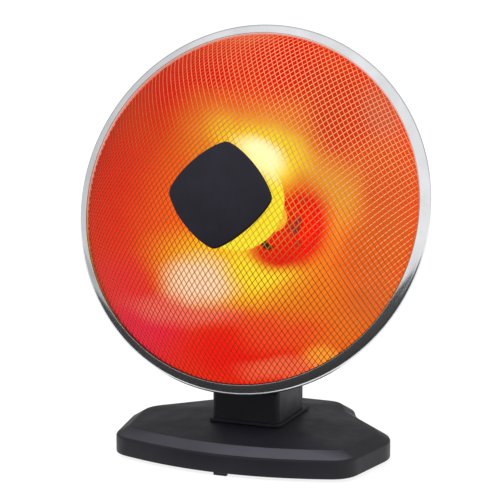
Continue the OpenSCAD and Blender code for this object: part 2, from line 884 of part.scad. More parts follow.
module heat_switch() {
    color([0.85, 0.82, 0.72])
        difference() {
            union() {
                translate([-12, inner_rear - 16, knob_z - 13]) cube([24, 16, 26]);
                translate([0, inner_rear - eps, knob_z])
                    along_y() cylinder(r = switch_bush_r, h = neck_wall + switch_bush_out);
            }
            translate([0, inner_rear - shaft_in - 1, knob_z])
                along_y() cylinder(r = switch_shaft_r + run_gap, h = 30);
        }
}

module heat_switch_nut() {
    color([0.75, 0.75, 0.77])
        translate([0, neck_rear, knob_z])
            along_y() difference() {
                cylinder(r = switch_nut_r, h = switch_nut_h, $fn = 6);
                translate([0, 0, -eps])
                    cylinder(r = switch_bush_r + run_gap, h = switch_nut_h + 1, $fn = 64);
            }
}

module heat_knob() {
    start = neck_rear + knob_gap;
    color([0.1, 0.1, 0.11])
        difference() {
            union() {
                translate([0, start, knob_z]) along_y() {
                    cylinder(r = knob_r, h = knob_skirt);
                    cylinder(r1 = knob_r - 1.5, r2 = knob_r - 3, h = knob_h);
                }
                translate([0, inner_rear - shaft_in, knob_z])
                    along_y() cylinder(r = switch_shaft_r, h = start + knob_h - 2 - inner_rear + shaft_in);
            }
            translate([0, start - eps, knob_z])
                along_y() tube(switch_nut_r + 1.5, switch_shaft_r, knob_skirt + 0.4);
        }
}

module oscillation_switch() {
    color([0.2, 0.2, 0.22])
        difference() {
            union() {
                translate([-8, inner_rear - 14, button_z - 7.4]) cube([16, 14, 14.8]);
                translate([0, inner_rear - eps, button_z])
                    along_y() cylinder(r = button_bush_r, h = neck_wall + button_bush_out);
            }
            translate([0, inner_rear - shaft_in - button_travel - 0.5, button_z])
                along_y() cylinder(r = button_stem_r + run_gap, h = 40);
        }
}

module oscillation_button() {
    cap_y = neck_rear + button_bush_out + button_travel + 0.2;
    color([0.1, 0.1, 0.11]) {
        translate([0, cap_y, button_z]) along_y() {
            cylinder(r = button_r, h = 2);
            translate([0, 0, 2]) cylinder(r1 = button_r, r2 = button_r - 0.8, h = 0.8);
        }
        translate([0, inner_rear - shaft_in, button_z])
            along_y() cylinder(r = button_stem_r, h = cap_y - inner_rear + shaft_in + eps);
    }
}

module tilt_bolt() {
    color([0.72, 0.72, 0.75])
        translate([0, pivot_y, pivot_z]) {
            translate([-ear_out - seat_gap, 0, 0]) along_x() cylinder(r = bolt_r, h = 2*ear_out + nut_h + 2);
            translate([-ear_out - bolt_head_h, 0, 0]) along_x() cylinder(r = nut_r, h = bolt_head_h, $fn = 6);
        }
}

module tilt_nut() {
    color([0.72, 0.72, 0.75])
        translate([ear_out, pivot_y, pivot_z])
            along_x() difference() {
                cylinder(r = nut_r, h = nut_h, $fn = 6);
                translate([0, 0, -eps]) cylinder(r = bolt_r + run_gap, h = nut_h + 1, $fn = 64);
            }
}

module friction_washers() {
    color([0.55, 0.35, 0.2])
        for (x = [lug_w/2 + seat_gap, -lug_w/2 - seat_gap - washer_t])
            translate([x, pivot_y, pivot_z])
                along_x() tube(lug_r - 2, bolt_r + run_gap, washer_t);
}

// ---- Head ----

module tilt_bracket() {
    color([0.35, 0.35, 0.37])
        on_head() difference() {
            union() {
                translate([-lug_w/2, 0, 0])
                    rotate([90, 0, 90])
                        linear_extrude(lug_w) {
                            translate([-pivot_drop, -pivot_back]) circle(r = lug_r);
                            translate([-pivot_drop, -pivot_back - lug_r])
                                square([36, pivot_back + lug_r + hub_back]);
                        }
                translate([-bracket_w/2, -40, bracket_back]) cube([bracket_w, 28, bracket_t]);
            }
            translate([-lug_w/2 - 1, -pivot_drop, -pivot_back])
                along_x() cylinder(r = bolt_r + run_gap, h = lug_w + 2);
            for (x = [-1, 1] * hub_screw_at*sin(45))
                translate([x, -hub_screw_at*cos(45), bracket_back - 1]) cylinder(r = hub_hole_r, h = 10);
        }
}

module hub_plate() {
    color([0.6, 0.6, 0.62])
        on_head() difference() {
            union() {
                translate([0, 0, hub_back]) cylinder(r = hub_r2, h = hub_t);
                for (a = post_angles)
                    rotate([0, 0, a]) translate([post_at, 0, cup_back + cup_wall])
                        cylinder(r = post_r, h = cup_len - cup_wall + eps);
            }
            translate([0, 0, hub_back - 1]) cylinder(r = spigot_r + run_gap, h = hub_t + 2);
            for (a = hub_screw_angles)
                rotate([0, 0, a]) translate([hub_screw_at, 0, hub_back - 1])
                    cylinder(r = hub_hole_r, h = hub_t + 2);
            for (a = post_angles)
                rotate([0, 0, a]) translate([post_at, 0, cup_back]) cylinder(r = screw_hole_r, h = 14);
        }
}

module hub_screws() {
    color([0.75, 0.75, 0.77])
        on_head() for (a = hub_screw_angles)
            rotate([0, 0, a]) translate([hub_screw_at, 0, 0]) {
                translate([0, 0, seat_z]) cylinder(r = 3.6, h = 2);
                translate([0, 0, bracket_back - 3])
                    cylinder(r = hub_screw_r, h = seat_z - bracket_back + 3 + eps);
            }
}

module reflector_dish() {
    steps = 28;
    front = concat(
        [[spigot_r + run_gap, seat_z]],
        [for (k = [0:steps]) let (r = seat_r + (dish_r - seat_r)*k/steps) [r, dish_z(r)]],
        [[dish_r + flange_w, 0]]
    );
    n = len(front);
    color([0.85, 0.4, 0.15])
        on_head() difference() {
            rotate_extrude($fn = 96)
                polygon(concat(front, [for (i = [n - 1:-1:0]) front[i] - [0, dish_sheet]]));
            for (a = hub_screw_angles)
                rotate([0, 0, a]) translate([hub_screw_at, 0, seat_z - dish_sheet - 1])
                    cylinder(r = hub_hole_r, h = 4);
        }
}

module rim_band() {
    back = rim_front - rim_depth;
    inner_r = rim_r - rim_sheet;
    color([0.9, 0.9, 0.92])
        on_head() rotate_extrude($fn = 96)
            polygon([
                [dish_r, rim_front - rim_sheet], [dish_r, rim_front - 0.4], [dish_r + 0.6, rim_front],
                [rim_r - 2, rim_front], [rim_r, rim_front - 2], [rim_r, back + 1.5],
                [rim_r - 1.5, back], [dish_r + 3.4, back], [dish_r + 3.4, back + rim_sheet],
                [inner_r - 0.6, back + rim_sheet], [inner_r, back + rim_sheet + 0.8],
                [inner_r, rim_front - 2.4], [inner_r - 0.9, rim_front - rim_sheet]
            ]);
}

// One grille wire: an arc of the dome, cut by an upright plane at the given offset
module grille_wire(offset, layer_r) {
    arc_r = sqrt(pow(layer_r, 2) - pow(offset, 2));
    reach = acos((wire_end_z - dome_z)/arc_r);
    translate([0, offset, dome_z])
        rotate([90, 0, 0])
            rotate([0, 0, 90 - reach])
                rotate_extrude(angle = 2*reach)
                    translate([arc_r, 0]) circle(d = wire_d, $fn = 16);
}

module front_grille() {
    color([0.8, 0.78, 0.74])
        on_head() {
            rotate_extrude($fn = 96) translate([hoop_r, seat_gap]) square([hoop_w, hoop_h]);
            for (i = [-wire_count:wire_count]) {
                rotate([0, 0, wire_angle])
                    grille_wire(i*wire_pitch, dome_r - wire_d/2);
                rotate([0, 0, -wire_angle])
                    grille_wire(i*wire_pitch, dome_r + wire_d/2 + layer_gap);
            }
        }
}

// Outline of the badge: a diamond with bulging sides
function badge_point(a) = [
    badge_w/2*sign(cos(a))*pow(abs(cos(a)), 2/badge_bulge),
    badge_h/2*sign(sin(a))*pow(abs(sin(a)), 2/badge_bulge)
];

module badge_plate() {
    inner = dome_r + wire_d + layer_gap + 0.15;
    color([0.09, 0.08, 0.12])
        on_head() intersection() {
            translate([0, 0, dome_z])
                difference() {
                    sphere(r = inner + badge_t, $fn = 96);
                    sphere(r = inner, $fn = 96);
                }
            translate([0, 0, dome_rise - 20])
                linear_extrude(40) polygon([for (a = [2.5:5:360]) badge_point(a)]);
        }
}

module element_socket() {
    color([0.93, 0.9, 0.84])
        on_head() difference() {
            union() {
                translate([0, 0, seat_z]) cylinder(r = socket_r + socket_lip, h = socket_lip_t);
                translate([0, 0, seat_z]) cylinder(r = socket_r, h = socket_h);
                translate([0, 0, hub_back - socket_tail])
                    cylinder(r = spigot_r, h = seat_z - hub_back + socket_tail + eps);
            }
            translate([0, 0, hub_back - 7]) cylinder(r = rod_r + run_gap, h = 60);
            for (x = [-1, 1] * terminal_x)
                translate([x, 0, hub_back - 7]) cylinder(r = terminal_r + run_gap, h = 60);
        }
}

module element_core() {
    color([0.93, 0.9, 0.84])
        on_head() difference() {
            translate([0, 0, core_z]) {
                cylinder(r = core_r, h = core_len);
                cylinder(r = collar_r, h = collar_h);
                translate([0, 0, core_len - collar_h]) cylinder(r = collar_r, h = collar_h);
            }
            translate([0, 0, core_z - 1]) cylinder(r = core_bore, h = core_len + 2);
            for (x = [-1, 1] * terminal_x)
                translate([x, 0, core_z - 1]) cylinder(r = terminal_r + run_gap, h = terminal_in + 5);
        }
}

// Winding drawn flat, with x round the core and y along it: a tail, a bend, the turns, a bend, a tail
coil_run = 360*coil_turns;
coil_flat = concat(
    [[0, -coil_bend - coil_tail]],
    [for (a = [0:30:90]) [coil_bend*(1 - cos(a)), coil_bend*(sin(a) - 1)]],
    [for (i = [1:24*coil_turns - 1])
        [coil_bend + i*15*PI/180*coil_at, coil_len*i/(24*coil_turns)]],
    [for (a = [0:30:90])
        [coil_bend + coil_run*PI/180*coil_at + coil_bend*sin(a), coil_len + coil_bend*(1 - cos(a))]],
    [[2*coil_bend + coil_run*PI/180*coil_at, coil_len + coil_bend + coil_tail]]
);
coil_path = [
    for (p = coil_flat)
        let (a = p[0]/coil_at*180/PI) [coil_at*cos(a), coil_at*sin(a), coil_z + p[1]]
];
coil_far = [for (i = [0:len(coil_path) - 1], j = [i + 18:1:min(i + 30, len(coil_path) - 1)])
    norm(coil_path[i] - coil_path[j])];
echo(least_gap_between_coil_turns_mm = min(coil_far) - coil_wire);

module element_coil() {
    color([1, 0.75, 0.3])
        on_head() wire_along(coil_path, coil_wire/2, 6);
}

module element_rod() {
    top = core_z + core_len;
    color([0.75, 0.75, 0.77])
        on_head() {
            translate([0, 0, hub_back - 12])
                cylinder(r = rod_r, h = shield_out + shield_t + 2 - hub_back + 12);
            translate([0, 0, top]) cylinder(r = 4.5, h = shield_out - spider_hub_drop - spider_t - top);
            translate([0, 0, shield_out + shield_t]) cylinder(r = 2*rod_r, h = rod_nut_h, $fn = 6);
            translate([0, 0, hub_back - socket_tail - rod_nut_h]) cylinder(r = 2*rod_r, h = rod_nut_h, $fn = 6);
        }
}

module element_terminals() {
    color([0.8, 0.65, 0.3])
        on_head() for (x = [-1, 1] * terminal_x)
            translate([x, 0, hub_back - 14]) cylinder(r = terminal_r, h = core_z + terminal_in - hub_back + 14);
}

module shield_plate() {
    color([0.95, 0.8, 0.3])
        on_head() translate([0, 0, shield_out]) tube(shield_r, rod_r + run_gap, shield_t);
}

module shield_spider() {
    color([0.3, 0.28, 0.26])
        on_head() difference() {
            union() {
                translate([0, 0, shield_out - spider_hub_drop - spider_t])
                    cylinder(r = spider_hub_r, h = spider_t);
                for (a = spider_angles)
                    rotate([0, 0, a])
                        translate([0, spider_w/2, shield_out])
                            rotate([90, 0, 0])
                                linear_extrude(spider_w) polygon([
                                    [spider_hub_r/2, 0], [spider_hub_r/2, -spider_t],
                                    [tip_at - spider_t, -spider_t], [tip_at - spider_t, -tip_len],
                                    [tip_at, -tip_len], [tip_at, 0]
                                ]);
            }
            translate([0, 0, shield_out - 5]) cylinder(r = rod_r + run_gap, h = 10);
        }
}

module rear_housing() {
    color([0.13, 0.13, 0.14])
        on_head() difference() {
            rotate_extrude($fn = 96)
                polygon([
                    [0, cup_back], [cup_r - cup_bevel, cup_back], [cup_r, cup_back + cup_bevel],
                    [cup_r, cup_front], [cup_r - cup_wall, cup_front],
                    [cup_r - cup_wall, cup_back + cup_bevel + cup_wall/2],
                    [cup_r - cup_bevel - cup_wall/2, cup_back + cup_wall], [0, cup_back + cup_wall]
                ]);
            translate([-lug_w/2 - move_gap, -cup_r - 5, -pivot_back - lug_r - move_gap])
                cube([lug_w + 2*move_gap, cup_r - 20, 60]);
            for (i = [-4:4])
                translate([i*7 - 1.5, -22, cup_back - 1]) cube([3, 34, cup_wall + 2]);
            for (a = post_angles)
                rotate([0, 0, a]) translate([post_at, 0, cup_back - 1])
                    cylinder(r = screw_hole_r, h = 10);
        }
}

module housing_screws() {
    color([0.2, 0.2, 0.2])
        on_head() for (a = post_angles)
            rotate([0, 0, a]) translate([post_at, 0, cup_back]) mirror([0, 0, 1]) screw(housing_screw_len);
}

module thermal_cutout() {
    color([0.25, 0.2, 0.18])
        on_head() translate([0, cutout_y, hub_back - 8]) {
            cylinder(r = cutout_r, h = 8);
            for (x = [-1, 1] * 4) translate([x - 0.4, -3, -7]) cube([0.8, 6, 7 + eps]);
        }
}

base_cover();
base_plate();
ballast_plate();
rubber_feet();
base_screws();
oscillation_motor();
motor_screws();
motor_pinion();
slip_washer();
tip_switch();
tip_plunger();
tip_spring();
cord_gland();
terminal_block();
swivel_plate();
swivel_screws();
retaining_ring();
sector_gear();
neck_front_shell();
neck_rear_shell();
neck_screws();
heat_switch();
heat_switch_nut();
heat_knob();
oscillation_switch();
oscillation_button();
tilt_bolt();
tilt_nut();
friction_washers();
tilt_bracket();
hub_plate();
hub_screws();
reflector_dish();
rim_band();
front_grille();
badge_plate();
element_socket();
element_core();
element_coil();
element_rod();
element_terminals();
shield_plate();
shield_spider();
rear_housing();
housing_screws();
thermal_cutout();
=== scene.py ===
"""Looks of the parabolic heater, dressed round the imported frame.

Shapes are drawn in millimetres and put into the meshes in metres. The heater stands on the floor at
z = 0 and its dish faces -Y. The head's own frame has its origin at the middle of the dish's mouth,
its X across, its Y up the dish and its Z out of the dish.
"""

import math

import bmesh
import bpy
import numpy as np
from mathutils import Matrix, Vector


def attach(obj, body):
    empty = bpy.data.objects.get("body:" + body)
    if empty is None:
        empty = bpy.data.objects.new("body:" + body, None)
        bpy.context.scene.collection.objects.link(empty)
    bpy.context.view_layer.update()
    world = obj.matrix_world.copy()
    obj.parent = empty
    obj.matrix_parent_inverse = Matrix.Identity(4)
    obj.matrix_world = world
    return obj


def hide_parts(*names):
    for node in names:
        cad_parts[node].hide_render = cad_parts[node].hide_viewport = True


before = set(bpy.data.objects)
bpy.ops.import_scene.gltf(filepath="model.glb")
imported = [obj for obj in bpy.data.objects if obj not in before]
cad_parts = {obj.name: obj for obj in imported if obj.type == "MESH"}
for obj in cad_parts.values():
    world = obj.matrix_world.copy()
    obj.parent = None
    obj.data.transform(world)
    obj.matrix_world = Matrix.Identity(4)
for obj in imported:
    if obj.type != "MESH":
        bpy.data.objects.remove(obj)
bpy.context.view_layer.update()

MM = 0.001
TAU = 2 * math.pi

# ---------------------------------------------------------------- sizes, as in the part's source
PIVOT = (0.0, 32.0, 126.0)
REST_TILT = math.radians(18.7)
PIVOT_DROP, PIVOT_BACK = 70.0, 80.0

DISH_R, DISH_DEPTH, SEAT_R, SHEET, FLANGE_R = 152.0, 76.0, 34.0, 0.8, 156.6
SEAT_Z = -DISH_DEPTH * (1 - (SEAT_R / DISH_R) ** 2)
RIM_R, RIM_FRONT, RIM_BACK = 160.0, 4.8, -7.2
DOME_R, DOME_Z = 192.65, -118.15
HOOP_IN, HOOP_OUT, HOOP_LOW, HOOP_HIGH = 150.6, 155.0, 0.1, 3.5
BADGE_W, BADGE_H = 92.0, 90.0
SHIELD_R, SHIELD_Z, ROD_R = 41.0, 28.0, 2.05
CORE_R, CORE_Z, CORE_LEN = 8.0, SEAT_Z + 14.0, 78.0
COIL_AT, COIL_WIRE, COIL_TURNS, COIL_LEN = 9.0, 1.6, 14, 58.0
KNOB_Z = 71.0

BASE_FRONT, BASE_REAR, FRONT_BOW = 94.0, 97.0, 22.0
BASE_SIDE = [(108.5, FRONT_BOW - BASE_FRONT, 16), (122.5, 9, 20), (67, 64, 9), (52, BASE_REAR, 20)]
BOTTOM_Z, EDGE_Z, BAND_Z, DECK_Z = 3.0, 18.5, 25.5, 31.0
BAND_W, WALL = 11.5, 2.5

# ---------------------------------------------------------------- places in the light of the element
# Ovals of the head's plane where light and shade are painted: centre x and y, reach across and up in
# millimetres, full within, share, turn.
OVER_SHIELD = (28, -7, 62, 58, 0.45, 0.85, 0)     # painted gold reflection on the guard, where the camera sees it cross the shield
OVER_GLARE = (32, 35, 38, 17, 0.25, 0.90, -32)    # painted glare on the guard, where it crosses the hottest place
ON_SHIELD = (17, 42, 40, 20, 0.30, 0.90, -40)     # painted glare on the shield's upper edge, beside the hottest place
SOCKET_SHADE = (18, -3, 5.5, 13, 0.45, 1.0, -27)        # painted shade on the socket
GLARE = (1.0, 1.0, 0.50)                          # colour of the painted glare on the shield's upper edge there

# ---------------------------------------------------------------- camera
VIEW_TURN, VIEW_RISE = math.radians(22.2), math.radians(11.6)
VIEW_AT = Vector((0.00944, -0.05315, 0.1883))
VIEW_DISTANCE = 2.2
FOCAL_PIXELS, FRAME_HEIGHT, SENSOR = 2610.2, 500.0, 36.0


def add_camera():
    """The camera stands where the photograph was taken from: right of the front, slightly above."""
    data = bpy.data.cameras.new("view")
    data.sensor_fit = "VERTICAL"
    data.sensor_height = SENSOR
    data.lens = FOCAL_PIXELS * SENSOR / FRAME_HEIGHT
    data.clip_end = 50
    camera = bpy.data.objects.new("view", data)
    bpy.context.scene.collection.objects.link(camera)
    out = Vector((math.sin(VIEW_TURN) * math.cos(VIEW_RISE),
                  -math.cos(VIEW_TURN) * math.cos(VIEW_RISE), math.sin(VIEW_RISE)))
    camera.location = VIEW_AT + VIEW_DISTANCE * out
    camera.rotation_euler = (-out).to_track_quat("-Z", "Y").to_euler()
    bpy.context.scene.camera = camera


add_camera()

# ---------------------------------------------------------------- surfaces


def head_axes():
    """Origin and axes of the head's own frame, in the row frame."""
    up = np.array([0.0, math.sin(REST_TILT), math.cos(REST_TILT)])
    out = np.array([0.0, -math.cos(REST_TILT), math.sin(REST_TILT)])
    origin = np.array(PIVOT) + PIVOT_DROP * up + PIVOT_BACK * out
    return origin, np.stack([np.array([1.0, 0.0, 0.0]), up, out])


HEAD_AT, HEAD_AXES = head_axes()


def on_head(points):
    """Points of the head's own frame moved to their place: origin + x across + y up + z out."""
    return HEAD_AT + points @ HEAD_AXES


def unit(v):
    """Directions brought to length 1."""
    return v / np.maximum(np.linalg.norm(v, axis=-1, keepdims=True), 1e-12)


def lattice(grid, along=False, start=None, end=None, finish=0):
    """A surface through a grid of points (rows, columns, 3): each cell is a four-sided face.

    The last column joins the first, and along joins the last row to the first. start and end are
    points that close the first and last rows with a fan. Faces point out where the columns run
    anticlockwise round the way that the rows go. finish is one number, or one for each four-sided
    face. Returns (points, faces, finish)."""
    rows, cols = grid.shape[:2]
    a = np.arange(rows * cols).reshape(rows, cols)
    b = np.roll(a, -1, 1)
    low_a, low_b = (a, b) if along else (a[:-1], b[:-1])
    top_a, top_b = (np.roll(a, -1, 0), np.roll(b, -1, 0)) if along else (a[1:], b[1:])
    faces = [np.stack([low_a, low_b, top_b, top_a], -1).reshape(-1, 4)]
    points = [grid.reshape(-1, 3)]
    count = rows * cols
    if start is not None:
        points.append(np.asarray(start, float).reshape(1, 3))
        faces.append(np.stack([b[0], a[0], np.full_like(a[0], count)], -1))
        count += 1
    if end is not None:
        points.append(np.asarray(end, float).reshape(1, 3))
        faces.append(np.stack([a[-1], b[-1], np.full_like(a[-1], count)], -1))
    return np.concatenate(points), faces, finish


def turned(profile, count, finish=0, loop=False):
    """A profile of (radius, height) points turned round +Z in count steps.

    A point at angle t is (radius cos t, radius sin t, height). The profile runs with the solid on
    its left; an end on the axis closes into a pole, and loop joins its end to its start."""
    profile = np.asarray(profile, float)
    t = np.arange(count) * TAU / count
    ring = np.stack([np.cos(t), np.sin(t), np.zeros(count)], -1)
    ends = [None, None]
    for k, i in enumerate((0, -1)):
        if not loop and profile[i, 0] < 1e-9:
            ends[k] = (0, 0, profile[i, 1])
    inner = profile[1 if ends[0] else 0:len(profile) - (1 if ends[1] else 0)]
    grid = inner[:, None, :1] * ring[None] + np.stack(
        [np.zeros(len(inner)), np.zeros(len(inner)), inner[:, 1]], -1)[:, None]
    return lattice(grid, loop, ends[0], ends[1], finish)


def eased(corners, radii, steps):
    """Open run of points with each inner corner replaced by a parabola of the given reach.

    With p the reach before the corner v and q the reach after it, a point of the parabola is
    (1-s)^2 p + 2s(1-s) v + s^2 q. Points that fall on the one before are dropped."""
    corners = np.asarray(corners, float)
    radii = np.broadcast_to(radii, len(corners))
    s = np.linspace(0, 1, steps + 1)[:, None]
    out = [corners[:1]]
    for i in range(1, len(corners) - 1):
        v, reach = corners[i], radii[i]
        if reach <= 0:
            out.append(v[None])
            continue
        p = v + reach * unit(corners[i - 1] - v)
        q = v + reach * unit(corners[i + 1] - v)
        out.append((1 - s) ** 2 * p + 2 * s * (1 - s) * v + s * s * q)
    out.append(corners[-1:])
    out = np.concatenate(out)
    return out[np.append(True, np.linalg.norm(np.diff(out, axis=0), axis=-1) > 1e-6)]


def eased_loop(corners, radii, steps):
    """The same for a closed run: every corner is eased."""
    corners = np.asarray(corners, float)
    radii = list(np.broadcast_to(radii, len(corners)))
    wrapped = np.concatenate([corners[-1:], corners, corners[:1]])
    return eased(wrapped, [0] + radii + [0], steps)[1:-1]


def spaced(path, count):
    """A closed path walked again in count equal steps of length."""
    path = np.concatenate([path, path[:1]])
    gone = np.concatenate([[0], np.cumsum(np.linalg.norm(np.diff(path, axis=0), axis=1))])
    at = np.linspace(0, gone[-1], count + 1)[:-1]
    return np.stack([np.interp(at, gone, path[:, k]) for k in range(path.shape[1])], -1)


def drawn_in(outline, distance):
    """A closed anticlockwise outline moved inwards by a distance along its normals."""
    t = unit(np.roll(outline, -1, 0) - np.roll(outline, 1, 0))
    return outline - distance * np.stack([t[:, 1], -t[:, 0]], -1)


def tubes(paths, radius, side, count, finish=0):
    """Round rods along paths (rods, steps, 3). A ring point at angle t is path + radius (cos t side +
    sin t (side x forward)), where side is a direction square to the path. The ends are closed."""
    paths = np.asarray(paths, float)
    ahead = unit(np.gradient(paths, axis=1))
    side = unit(side - np.sum(side * ahead, -1, keepdims=True) * ahead)
    other = np.cross(ahead, side)
    t = np.arange(count) * TAU / count
    rings = paths[:, :, None] + radius * (
        np.cos(t)[:, None] * side[:, :, None] + np.sin(t)[:, None] * other[:, :, None])
    return joined([lattice(rings[k], False, paths[k, 0], paths[k, -1], finish)
                   for k in range(len(paths))])


def joined(parts):
    """Several surfaces as one run of points and faces with one finish."""
    points, faces, count = [], {3: [], 4: []}, 0
    for p, fs, _ in parts:
        for f in fs:
            faces[f.shape[1]].append(f + count)
        points.append(p)
        count += len(p)
    return (np.concatenate(points), [np.concatenate(f) for f in faces.values() if f], parts[0][2])


def raised(part, height):
    """A surface moved along +Z."""
    return part[0] + np.array([0.0, 0.0, height]), part[1], part[2]


# ---------------------------------------------------------------- meshes and pieces


def weigh_normals(mesh):
    """Shading normals at each point: the sum of its faces' normals times their areas."""
    n, loops = len(mesh.vertices), len(mesh.loops)
    corner = np.zeros(loops, np.int64)
    mesh.loops.foreach_get("vertex_index", corner)
    total, area = np.zeros(len(mesh.polygons), np.int64), np.zeros(len(mesh.polygons))
    normal = np.zeros(len(mesh.polygons) * 3)
    mesh.polygons.foreach_get("loop_total", total)
    mesh.polygons.foreach_get("area", area)
    mesh.polygons.foreach_get("normal", normal)
    share = np.repeat(normal.reshape(-1, 3) * area[:, None], total, axis=0)
    out = np.zeros((n, 3))
    for k in range(3):
        out[:, k] = np.bincount(corner, share[:, k], n)
    mesh.polygons.foreach_set("use_smooth", np.ones(len(mesh.polygons), bool))
    mesh.normals_split_custom_set_from_vertices(unit(out).tolist())


def piece(name, parts, finishes, body, node):
    """One object from several surfaces, each with the number of its finish, in the place of a node.

    The surfaces of a piece on the head are drawn in the head's own frame."""
    points, corners, totals, finish, count = [], [], [], [], 0
    for p, fs, which in parts:
        for f in fs:
            corners.append((f + count).ravel())
            totals.append(np.full(len(f), f.shape[1]))
            finish.append(np.resize(which, len(f)))
        points.append(p)
        count += len(p)
    points, corners, totals = map(np.concatenate, (points, corners, totals))
    if body == "head":
        points = on_head(points)
    mesh = bpy.data.meshes.new(name)
    mesh.vertices.add(len(points))
    mesh.loops.add(len(corners))
    mesh.polygons.add(len(totals))
    mesh.vertices.foreach_set("co", (points * MM).astype(np.float32).ravel())
    mesh.loops.foreach_set("vertex_index", corners.astype(np.int32))
    starts = np.cumsum(totals) - totals
    mesh.polygons.foreach_set("loop_start", starts.astype(np.int32))
    mesh.polygons.foreach_set("material_index", np.concatenate(finish).astype(np.int32))
    mesh.update(calc_edges=True)
    mesh.validate()
    weigh_normals(mesh)
    placed(name, mesh, finishes, body, node)


def placed(name, mesh, finishes, body, node):
    """Puts a mesh into the scene, riding on a body in the place of a node."""
    for finish in finishes:
        mesh.materials.append(finish)
    thing = bpy.data.objects.new(name, mesh)
    bpy.context.scene.collection.objects.link(thing)
    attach(thing, body)
    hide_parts(node)


def softened(name, node, width, finish, body, slot, hollows=True):
    """Puts in a CAD node's copy with its points merged, its flats joined and its sharp edges rounded.

    Without hollows only its outer edges are rounded, so that no fillet rubs where it slides."""
    same_place, flat, sharp = 0.002 * MM, math.radians(1), math.radians(28)
    work = bmesh.new()
    work.from_mesh(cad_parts[node].data)
    bmesh.ops.remove_doubles(work, verts=work.verts, dist=same_place)
    bmesh.ops.dissolve_limit(work, angle_limit=flat, verts=work.verts, edges=work.edges,
                             use_dissolve_boundaries=False)
    edges = [e for e in work.edges if len(e.link_faces) == 2 and e.calc_face_angle(0) > sharp
             and (hollows or e.is_convex)]
    bmesh.ops.bevel(work, geom=edges, offset=width * MM, offset_type="OFFSET", segments=2,
                    profile=0.5, affect="EDGES", clamp_overlap=True, loop_slide=True)
    bmesh.ops.triangulate(work, faces=[f for f in work.faces if len(f.verts) > 4])
    mesh = bpy.data.meshes.new(name)
    work.to_mesh(mesh)
    work.free()
    mesh.polygons.foreach_set("material_index", np.zeros(len(mesh.polygons), np.int32))
    weigh_normals(mesh)
    placed(name, mesh, [finish], body, node)


# ---------------------------------------------------------------- finishes


def feed(tree, sockets, values):
    """Gives sockets their values: another node's output is linked, and anything else is set."""
    for key, value in values.items():
        if isinstance(value, bpy.types.NodeSocket):
            tree.links.new(value, sockets[key])
        else:
            sockets[key].default_value = value


def new_node(tree, kind, inputs, settings):
    """A shader node of that kind, with its settings and then its inputs."""
    made = tree.nodes.new("ShaderNode" + kind)
    for key, value in settings.items():
        setattr(made, key, value)
    feed(tree, made.inputs, inputs)
    return made


